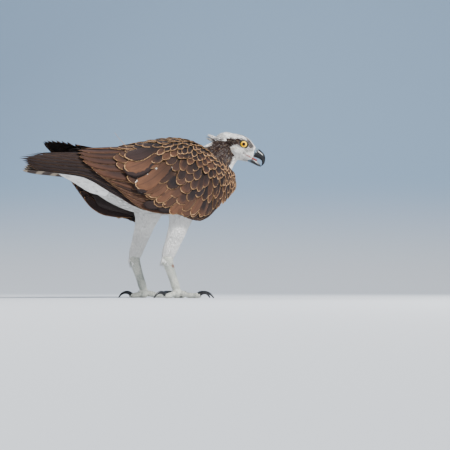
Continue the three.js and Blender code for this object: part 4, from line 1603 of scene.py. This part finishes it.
@dataclass
class Wing(Part):
    """One folded wing: an inner sheet, quills, and coverts that lie along the lines of the plumage.

    Attributes:
        side: which wing.
        lines: how many lines the coverts lie along.
        leading_edge: share of the way from wrist to ridge, x and t.
        steps: how far along the lines each row of coverts starts, in millimetres.
        dark_places: x and t of the middle of each dark place, and its radius in millimetres.
        flecks: x and t where a covert has a white notch.
        primary_tips: x and t where the primaries end, from the innermost to the outermost.
        tent: the wing's surface.
    """

    seed: ClassVar[int] = SEED + 2
    side: Side
    lines: int = 25
    leading_edge: Rows = (
        (0.0, 136, 0.84), (0.16, 138, 0.68), (0.34, 132, 0.5), (0.5, 114, 0.34),
        (0.64, 94, 0.22), (0.78, 80, 0.13), (0.9, 68, 0.07), (1.0, 40, 0.03),
    )
    steps: tuple[float, ...] = (0, 7, 14, 22, 31, 41, 52, 64, 77, 91, 107, 125, 145, 168, 194)
    dark_places: Rows = (
        (44, 0.66, 13), (66, 0.69, 13), (88, 0.73, 12), (14, 0.33, 20), (40, 0.4, 14), (-20, 0.72, 12),
        (20, 0.79, 12), (54, 0.83, 10), (-40, 0.5, 12), (70, 0.3, 10), (100, 0.56, 9), (-70, 0.1, 26),
        (-30, 0.12, 30), (10, 0.08, 30), (50, 0.12, 26),
    )
    flecks: Rows = ((-8, 0.53), (-11, 0.85), (50, 0.93))
    primary_tips: dict[Side, Rows] = field(
        default_factory=lambda: {
            Side.RIGHT: (
                (-256, 0.12), (-278, 0.2), (-299, 0.34), (-318, 0.52),
                (-313, 0.76), (-308, 0.94), (-300, 1.03),
            ),
            Side.LEFT: ((-214, 0.08), (-236, 0.14), (-254, 0.23), (-262, 0.35), (-256, 0.48), (-238, 0.6)),
        }
    )

    def __post_init__(self) -> None:
        """Makes the wing's surface."""
        super().__post_init__()
        self.tent = tent_patch(self.side)

    def sheet(self) -> None:
        """The inside of the wing: a closed curved plate a few millimetres under the feathers, painted dark as
        the shade that lies under them.
        """
        rows, columns = 40, 26
        v, u = np.meshgrid(np.linspace(0, 1, rows), np.linspace(0.04, 0.97, columns), indexing="ij")
        front = Track(WING_FRONT)(u)[0] - mix(12.0, 3.0, smooth_step(u, 0.2, 0.45))
        back = np.interp(u, [0, 0.2, 0.5, 0.8, 0.9, 1], [-190, -206, -196, -150, -110, -90])
        point, normal, _, _ = self.tent.frame(mix(front, back, v), u)
        thin = np.minimum(1, 7 * v + 0.1)[..., None]
        top = point - normal * mix(2.6, 6.6, smooth_step(v, 0.25, 0.6))[..., None]
        under = top - normal * (mix(8.0, 0.8, smooth_step(v, 0.3, 0.75))[..., None] * thin)
        vertices = np.vstack([top.reshape(-1, 3), under.reshape(-1, 3)])
        index = np.arange(rows * columns).reshape(rows, columns)
        cells = stacked(index[:-1, :-1], index[1:, :-1], index[1:, 1:], index[:-1, 1:]).reshape(-1, 4)
        rim = np.concatenate([index[0, :-1], index[:-1, -1], index[-1, :0:-1], index[:0:-1, 0]])
        after, lower = np.roll(rim, -1), rows * columns
        faces = [cells, cells[:, ::-1] + lower, stacked(rim, after, after + lower, rim + lower)]
        piece = self.studio.closed(f"wing_lining_{self.side.word}", MeshParts(vertices, faces))
        # Tone 1 everywhere: the plate takes the dark colour, painted shade for the gaps and the wing's
        # inside.
        add_floats(piece, tone=np.ones(len(vertices)))
        finish = SkinFinish("wing_lining", srgb(120, 100, 84), srgb(40, 28, 26)).build()
        dress(piece, finish, "wing_feathers", f"wing_{self.side.word}")

    def slope(self, x: Array, t: Array) -> Array:
        """How far below straight back the feathers point, in radians."""
        steep = np.interp(x, [-120, -60, -20, 20, 60, 110], [14, 24, 35, 47, 58, 66])
        return np.radians(steep * mix(0.22, 1.0, smooth_step(t, 0.04, 0.5)))

    def streamlines(self, shares: Array) -> Array:
        """Lines that start on the leading edge and follow the slope, a millimetre at each step.

        Args:
            shares: where each starts, from the wrist at 0 to the ridge at 1.

        Returns:
            x and t for each line and each millimetre.
        """
        x, t = Track(self.leading_edge)(shares)
        path = [stacked(x, t)]
        for _ in range(int(self.steps[-1]) + 60):
            _, _, by_s, by_a = self.tent.frame(x, t)
            turn = self.slope(x, t)
            x = x - np.cos(turn) / length(by_s)
            t = np.minimum(t + np.sin(turn) / length(by_a), 1.03)
            path.append(stacked(x, t))
        return np.stack(path, axis=1)

    def coverts(self) -> Feathers:
        """Rows of coverts at uneven steps along the lines, each row half a feather off the last.

        A feather is about two and a half rows long and a third wider than the lines are apart. Each starts a
        little before or behind its row, and a few are left out, so that the rows don't show as rings.

        Returns:
            The feathers.
        """
        both = []
        for shift in (0.0, 0.5):
            shares = (np.arange(-1, self.lines + 1) + shift) / (self.lines - 0.5)
            both.append((shares, self.streamlines(np.clip(shares, 0, 1) ** 0.9)))
        groups = []
        for row, start in enumerate(self.steps[:-1]):
            spacing = self.steps[row + 1] - start
            shares, lines = both[row % 2]
            count = len(shares)
            begin = np.maximum(0, start + spacing * 0.3 * self.rng.standard_normal(count)).astype(int)
            end = (begin + spacing * self.rng.uniform(2.1, 2.6, count) + 5).astype(int)
            ends = [lines[np.arange(count), np.minimum(at, lines.shape[1] - 1)] for at in (begin, end)]
            wide, across = (length(np.gradient(self.tent.place(*places.T), axis=0)) for places in ends)
            width = np.clip(1.4 * np.minimum(wide, across * 1.2), 8.5 + row * 0.7, 13.5 + row * 1.0)
            root, tip = ends
            rear = np.interp(root[:, 1], [0.05, 0.45, 0.67, 0.83, 0.9, 1.0], [-96, -84, -70, -40, -16, 26])
            kept = (root[:, 0] > rear) & (root[:, 1] < 0.9) & (shares > -0.04) & (shares < 1.04)
            kept &= self.rng.uniform(0, 1, count) > 0.04
            root, tip, width = root[kept], tip[kept], width[kept]
            count = len(root)
            tip[:, 0] += self.rng.uniform(-2, 2, count)
            tip[:, 1] = np.minimum(tip[:, 1] + self.rng.uniform(-0.02, 0.02, count), 0.985)
            width = width * self.rng.uniform(0.86, 1.12, count)
            rise = self.rng.uniform(1.2, 2.6, count) * mix(0.3, 1.0, smooth_step(root[:, 1], 0.06, 0.2))
            looks = {
                "roll": self.rng.uniform(0.2, 1.5, count),
                "tone": about(self.rng, count, 0.42, 0.3),
                "fringe": about(self.rng, count, 0.85, 0.2, 0.3),
                "core": about(self.rng, count, mix(0.95, 0.3, start / 190), 0.2),
                "warm": about(self.rng, count, 0.06, 0.14),
            }
            groups.append(feathers(root, tip, width, (-3.2, rise), point=0.16, **looks))
        return self.darkened(all_of(groups))

    def darkened(self, birds: Feathers) -> Feathers:
        """Feathers in a dark place turn nearly black, and the one nearest each fleck gets a white notch.

        Args:
            birds: the feathers.

        Returns:
            The same feathers with their new tone, core and notch.
        """
        point = self.tent.place(*mix(birds.root, birds.tip, 0.6).T)

        def away(x: float, t: float) -> Array:
            """How far each feather's middle lies from a place, in millimetres."""
            return np.linalg.norm(point - self.tent.place(np.array(float(x)), np.array(float(t))), axis=-1)

        dark = np.zeros(len(point))
        for x, t, radius in self.dark_places:
            dark = np.maximum(dark, 1 - smooth_step(away(x, t), radius * 0.8, radius * 1.25))
        notch = birds.notch.copy()
        for x, t in self.flecks:
            notch[np.argmin(away(x, t))] = 0.8
        tone, core = np.maximum(birds.tone, 0.85 * dark), np.maximum(birds.core, dark)
        return birds._replace(tone=tone, core=core, notch=notch)

    def long_coverts(self) -> Feathers:
        """The long feathers behind the rows, each laid where it hangs, with near-black ones under their edges
        as painted shadow.
        """
        columns = (np.array(column, dtype=float) for column in zip(*LONG_COVERTS))
        root, tip, width, tone, notch, fringe = columns
        lift = (np.linspace(-3.6, -0.6, len(width)), np.linspace(1.6, 4.4, len(width)))
        looks = {"tone": tone, "fringe": fringe, "notch": notch}
        return feathers(root, tip, width, lift, roll=1.0, core=0.3, warm=0.1, point=0.16, **looks)

    def quills(self) -> Feathers:
        """Primaries, secondaries and tertials, the last lying over the rest."""
        share = np.linspace(0, 1, 10)
        ends = np.array(self.primary_tips[self.side])
        at = share * (len(ends) - 1)
        primaries = feathers(
            stacked(mix(-26, -14, share), mix(0.6, 0.95, share)),
            stacked(*(np.interp(at, np.arange(len(ends)), column) for column in ends.T)),
            mix(25, 18, share),
            (-6.5, mix(-3.0, -4.6, share)),
            roll=1.4, tone=mix(0.86, 0.97, share), fringe=mix(0.5, 0.3, share), core=0.4,
            bow=0.04, point=0.6, warm=mix(0.7, 0.1, share),
        )
        stations = [0, 0.15, 0.35, 0.6, 0.8, 1]
        tip_x = np.interp(share, stations, [-126, -142, -160, -178, -192, -200])
        tip_t = np.interp(share, stations, [0.985, 0.965, 0.92, 0.865, 0.8, 0.72])
        secondaries = feathers(
            stacked(mix(-6, -40, share), mix(0.97, 0.5, share)),
            stacked(tip_x, tip_t),
            mix(22, 27, share),
            (-6.4, mix(-3.0, -0.6, share)),
            roll=1.8, tone=0.5 + 0.12 * self.rng.standard_normal(10), fringe=0.9, core=0.5,
            warm=0.25, point=0.2,
        )
        share, stations = np.linspace(0, 1, 6), [0, 0.2, 0.5, 0.8, 1]
        tip_x = np.interp(share, stations, [-192, -206, -212, -204, -188])
        tip_t = np.interp(share, stations, [0.8, 0.68, 0.48, 0.28, 0.13])
        tertials = feathers(
            stacked(mix(-34, -60, share), mix(0.6, 0.1, share)),
            stacked(tip_x, tip_t),
            mix(30, 26, share),
            (-4.6, mix(0.0, 1.8, share)),
            roll=1.5, tone=0.36 + 0.14 * self.rng.standard_normal(6), fringe=0.6, core=0.75,
            warm=0.75, point=0.2,
        )
        return all_of([primaries, secondaries, tertials, self.alula()])

    def alula(self) -> Feathers:
        """Long dark feathers along the lower edge under the front coverts."""
        share = np.linspace(0, 1, 6)
        root = stacked(mix(104, 60, share), mix(0.97, 0.86, share))
        tip = stacked(mix(28, -18, share), mix(1.01, 0.985, share))
        looks = {"roll": 1.2, "tone": 0.72, "fringe": 0.5, "core": 0.6, "warm": 0.4, "point": 0.3}
        return feathers(root, tip, mix(13, 17, share), (-4.0, mix(-1.4, 0.4, share)), **looks)

    def filament(self) -> None:
        """One loose thin feather shaft that rises from the rear of the back and leans to the tail."""
        start = self.tent.place(np.array(-99.0), np.array(0.24))
        share = np.linspace(0, 1, 6)
        rise = stacked(-27 * share - 4 * share**2, 3 * share, 22 * share + 7 * share**2 - 1.5)
        rows = [[*(start + step), thin, thin] for step, thin in zip(rise, np.linspace(0.55, 0.22, 6))]
        piece = self.studio.closed("loose_shaft", tube_parts(limb_patch(rows, (0, 1, 0)), 10, 24))
        finish = SoftFinish("pale_shaft", srgb(196, 160, 132), srgb(140, 104, 84), 0.6).build()
        dress(piece, finish, "wing_feathers")

    def build(self) -> None:
        """Sheet, quills and coverts, and on the right the loose shaft."""
        self.sheet()
        quills = [(self.tent, self.quills(), QUILL)]
        self.plumage(f"quills_{self.side.word}", quills, QUILL_PLUMES.build(), "wing_feathers")
        coverts = [(self.tent, all_of([self.coverts(), self.long_coverts()]), COVERT)]
        self.plumage(f"coverts_{self.side.word}", coverts, SCALY_PLUMES.build(), "wing_feathers")
        if self.side is Side.RIGHT:
            self.filament()


@dataclass
class Tail(Part):
    """Twelve barred tail feathers, the middle pair uppermost."""

    seed: ClassVar[int] = SEED + 3
    root_x: float = -100
    tip_x: float = -286
    root_z: float = 226
    tip_z: float = 243
    spread: float = 27
    width: float = 25
    centre: float = 5
    pairs: int = 6

    def place(self, s: Array, a: Array) -> Array:
        """A shallow ridge sloping up to the rear: s is x, a is y, and it sags as the square of y."""
        share = (s - self.root_x) / (self.tip_x - self.root_x)
        return stacked(s, a, mix(self.root_z, self.tip_z, share) - 3.4 * (a / 34) ** 2)

    def build(self) -> None:
        """Pairs laid from the outermost, below, to the middle one."""
        sheet = Patch(self.place, lambda s: stacked(s, 0, 0), (self.root_x, self.tip_x), (-60.0, 60.0))
        pair = np.arange(self.pairs)
        share = (pair + 0.5) / (self.pairs - 0.5)
        offset, share, layer = np.concatenate([share, -share]), np.tile(share, 2), np.tile(pair, 2)
        root = stacked(self.root_x, 1.5 + offset * 9)
        tip = stacked(self.tip_x + 4 * share, self.centre + offset * self.spread)
        lift = (-2.1 * layer * 0.6, -2.1 * layer)
        birds = feathers(root, tip, self.width, lift, tone=0.4, fringe=0.6, core=0.2, point=0.2)
        self.plumage("tail_quills", [(sheet, birds, QUILL)], TAIL_PLUMES.build(), "tail_feathers", "tail")


class Toe(NamedTuple):
    """A toe: its name, its turn from straight ahead, its length and its number of pads."""

    name: str
    turn: float
    length: float
    pads: int


TOES = (Toe("inner", -34, 43, 3), Toe("middle", 3, 52, 4), Toe("outer", 62, 47, 4), Toe("hind", 176, 33, 2))


@dataclass
class Leg(Part):
    """Bare shank, four scaled toes with pads, and black claws.

    The shank's rows are the share of the way from ankle to foot, half width and half depth, and the toes'
    are the share of their length, z and radius.
    """

    side: Side
    claw_length: float = 27
    claw_radius: float = 4.1
    claw_bend: float = 118
    claw_lean: float = 38
    shank_rows: Rows = (
        (-0.1, 7, 8), (0.02, 10, 12), (0.2, 8.4, 10.4), (0.6, 7, 8.6), (0.88, 7.6, 8.4), (1.02, 6.5, 7.2),
    )
    toe_rows: Rows = ((0, 9.5, 6.6), (0.25, 8, 5.6), (0.6, 4.6, 5.2), (0.85, 4.5, 5.1), (1, 5.2, 4.3))

    def __post_init__(self) -> None:
        """Finds the ankle and the foot."""
        super().__post_init__()
        self.ankle, self.foot = np.array(LEG_LINES[self.side][-1]), np.array(FEET[self.side])

    def toe_line(self, toe: Toe, reach: Number, z: float) -> Array:
        """The point of a toe's line at a distance from its root and a height."""
        turn = math.radians(toe.turn) * self.side.value
        return np.array([self.foot[0] + 2 + math.cos(turn) * reach, self.foot[1] + math.sin(turn) * reach, z])

    def shank(self) -> MeshParts:
        """A tube from inside the feathered leg to the foot, thick at both joints."""
        rows = [[*mix(self.ankle, self.foot, share), *sizes] for share, *sizes in self.shank_rows]
        return tube_parts(limb_patch(rows, (1, 0, 0)), 28, 40)

    def hub(self) -> MeshParts:
        """The middle of the foot: a unit ball scaled along each axis."""
        centre, size = np.array([self.foot[0] + 1, self.foot[1], 9.5]), np.array([10, 9.5, 10.5])

        def place(s: Array, a: Array) -> Array:
            """The ball's ring at s."""
            ring = np.sin(s * math.pi)
            return centre + size * stacked(-np.cos(s * math.pi), ring * np.sin(a), ring * np.cos(a))

        return tube_parts(Patch(place, lambda s: centre + 0 * s[..., None], (0.02, 0.98)), 24, 16)

    def toe(self, toe: Toe) -> MeshParts:
        """A tube that leaves the foot above the floor and lies along it, swollen at each pad.

        Args:
            toe: which toe.

        Returns:
            The mesh.
        """
        rows = [
            [*self.toe_line(toe, toe.length * share, z), radius, radius * 0.96]
            for share, z, radius in self.toe_rows
        ]
        plain = limb_patch(rows, (0, 0, 1))

        def place(s: Array, a: Array) -> Array:
            """The plain tube with its pads."""
            centre = plain.middle(s)
            swell = 1 + 0.1 * np.cos(2 * math.pi * toe.pads * s) * smooth_step(s, 0.1, 0.3)
            return centre + (plain.place(s, a) - centre) * swell[..., None]

        return tube_parts(Patch(place, plain.middle), 24, 50)

    def claw(self, toe: Toe) -> MeshParts:
        """An arc that leaves the toe upwards and comes down to the floor, tapering to a point.

        Args:
            toe: which toe it stands on.

        Returns:
            The mesh.
        """
        bend, lean = math.radians(self.claw_bend), math.radians(self.claw_lean)
        radius = self.claw_length / bend
        rows = []
        for i in range(7):
            turned = bend * i / 6
            reach = radius * (math.sin(turned - lean) + math.sin(lean)) * 1.5
            rise = radius * (math.cos(turned - lean) - math.cos(lean)) * 1.5
            thin = mix(self.claw_radius, 0.6, (i / 6) ** 1.1)
            rows.append([*self.toe_line(toe, toe.length - 3 + reach, 6.4 + rise), thin * 0.85, thin])
        parts = tube_parts(limb_patch(rows, (0, 0, 1)), 20, 40)
        parts.vertices[:, 2] = np.maximum(parts.vertices[:, 2], 0.2)
        return parts

    def plates(self, leg: bpy.types.Object, points: Array) -> None:
        """Writes what the plates need, in millimetres.

        `reach` is how far a place lies from the foot's middle along the floor, or on the shank its height.
        `front` is 1 on the toes' tops and the shank's front. `mark` is the right shank's small brown mark.

        Args:
            leg: the leg's object.
            points: its vertices in the bird's frame.
        """
        x, y, z = points.T
        far = np.hypot(x - self.foot[0], y - self.foot[1])
        ahead = x - np.interp(z, [self.foot[2], self.ankle[2]], [self.foot[0], self.ankle[0]])
        top = smooth_step(z, 5.5, 8.0) * smooth_step(far, 9, 13) * (z < 20)
        shin = smooth_step(ahead, 3.0, 5.5) * smooth_step(z, 20, 26)
        beside = ahead * 0.8 - (y - self.foot[1]) * 0.6
        mark = np.exp(-(((z - 60.0) / 3.6) ** 2)) * smooth_step(beside, 2.5, 5.5) * (self.side is Side.RIGHT)
        mark = smooth_step(mark, 0.3, 0.7) * 0.85
        add_floats(leg, reach=np.where(z < 20, far, z), front=np.maximum(top, shin), mark=mark)

    def build(self) -> None:
        """Shank and foot in one scaled skin, flat underneath, and the claws."""
        name = self.side.word
        parts = [self.shank(), self.hub(), *(self.toe(toe) for toe in TOES)]
        leg = self.studio.fused(f"bare_leg_{name}", parts, 0.9, 3)
        places = read_vertices(leg)
        places[:, 2] = np.maximum(places[:, 2], 0.0)
        leg.data.vertices.foreach_set("co", places.ravel())
        self.plates(leg, (places - self.studio.shift) / MM)
        finish = ScaleFinish("leg_scales", srgb(214, 214, 202), srgb(166, 172, 164)).build()
        dress(leg, finish, "leg_skin", f"tarsus_{name}", f"foot_{name}")
        horn = HornFinish("claw_horn", srgb(18, 18, 20), srgb(120, 120, 120), 0.28).build()
        for toe in TOES:
            claw = self.studio.closed(f"claw_{toe.name}_{name}_horn", self.claw(toe))
            none = np.zeros(len(claw.data.vertices))
            add_floats(claw, cere=none, pale=none)
            dress(claw, horn, "claw", f"claw_{toe.name}_{name}")


@dataclass
class Set:
    """Pale floor that curves up behind, soft lamps, and the camera low in front of the bird's right side.

    Attributes:
        studio: tells where the row frame lies.
        azimuth: how far the camera stands round from -Y, in degrees.
        distance: from the camera to what it is aimed at, in metres.
        height: of the camera.
        frame_width: how wide the picture is at that distance.
        aim: what it is aimed at, in the bird's frame.
        sweep_from: where the floor starts to turn up.
        sweep_radius: the radius on which it does.
        lamp_rows: name, place, size and power of each lamp.
    """

    studio: Studio
    azimuth: float = -42.0
    distance: float = 2.4
    height: float = 0.02
    frame_width: float = 0.866
    aim: tuple[float, float, float] = (0.096, -0.086, 0.14)
    sweep_from: float = 1.6
    sweep_radius: float = 1.8
    lamp_rows: tuple[tuple[str, tuple[float, float, float], float, float], ...] = (
        ("key", (0.5, -1.9, 2.0), 0.6, 150.0),
        ("fill", (-2.0, -1.3, 0.7), 1.6, 18.0),
        ("rim", (-0.4, 1.9, 1.7), 1.0, 30.0),
    )

    def build(self) -> None:
        """Makes the floor, lamps, world and camera."""
        self.floor()
        self.lamps()
        self.camera()

    def floor(self) -> None:
        """A wide floor that is flat, turns up on a quarter circle behind the bird and goes straight up."""
        turn = math.radians(self.azimuth)
        away = np.array([-math.sin(turn), math.cos(turn), 0.0])
        beside = np.array([math.cos(turn), math.sin(turn), 0.0])
        bend = np.linspace(0, math.pi / 2, 24)
        end = self.sweep_from + self.sweep_radius
        reach = np.concatenate([[-9.0], self.sweep_from + self.sweep_radius * np.sin(bend), [end]])
        rise = np.concatenate([[0.0], self.sweep_radius * (1 - np.cos(bend)), [9.0]])
        points = reach[:, None, None] * away + np.array([-12.0, 12.0])[None, :, None] * beside
        points[..., 2] += rise[:, None]
        index = np.arange(len(reach) * 2).reshape(-1, 2)
        quads = stacked(index[:-1, 0], index[:-1, 1], index[1:, 1], index[1:, 0])
        data = bpy.data.meshes.new("studio_floor")
        data.from_pydata(points.reshape(-1, 3).tolist(), [], quads.tolist())
        data.polygons.foreach_set("use_smooth", np.full(len(quads), True))
        floor = self.studio.placed("studio_floor", data)
        n = Nodes("pale_floor")
        height = n.new("ShaderNodeSeparateXYZ", {0: n.object_place()})
        wall = n.step(height.outputs["Z"], 0.0, 0.5)
        n.surface(n.blend(wall, srgb(205, 208, 212), srgb(150, 176, 202)), 0.85, None)
        data.materials.append(n.material)

    def aimed(
        self, name: str, data: bpy.types.ID, place: Sequence[float], aim: Sequence[float]
    ) -> bpy.types.Object:
        """A lamp or camera turned to what it is aimed at.

        Args:
            name: the object's name.
            data: the lamp or camera.
            place: where it stands.
            aim: what it looks at.

        Returns:
            The object.
        """
        piece = self.studio.placed(name, data)
        piece.location = place
        piece.rotation_euler = (Vector(aim) - Vector(place)).to_track_quat("-Z", "Y").to_euler()
        return piece

    def lamps(self) -> None:
        """A large key high in front, a broad fill on the left, a rim lamp behind and a pale sky."""
        world = bpy.data.worlds.new("studio")
        world.use_nodes = True
        back = world.node_tree.nodes["Background"]
        back.inputs["Color"].default_value = srgb(214, 222, 232)
        back.inputs["Strength"].default_value = 0.7
        bpy.context.scene.world = world
        for name, place, size, power in self.lamp_rows:
            lamp = bpy.data.lights.new(name, "AREA")
            lamp.size, lamp.energy = size, power
            self.aimed(name, lamp, place, (0.0, 0.0, 0.2))

    def camera(self) -> None:
        """A long lens just above the floor, aimed at the middle of the photograph's frame."""
        turn = math.radians(self.azimuth)
        aim = np.array(self.aim) + self.studio.shift
        place = aim + np.array([math.sin(turn), -math.cos(turn), 0.0]) * self.distance
        place[2] = self.height
        lens = bpy.data.cameras.new("camera")
        lens.sensor_width = 36
        lens.lens = 36 * float(np.linalg.norm(place - aim)) / self.frame_width
        bpy.context.scene.camera = self.aimed("camera", lens, place, aim)


def main() -> None:
    """Builds the bird piece by piece, then the set."""
    logging.basicConfig(level=logging.INFO, format="%(message)s")
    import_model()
    studio = Studio()
    body = [Body(studio), Head(studio), Tail(studio), *(Wing(studio, side) for side in Side)]
    for part in (*body, Leg(studio, Side.RIGHT), Leg(studio, Side.LEFT), Set(studio)):
        part.build()


if __name__ == "__main__":
    main()
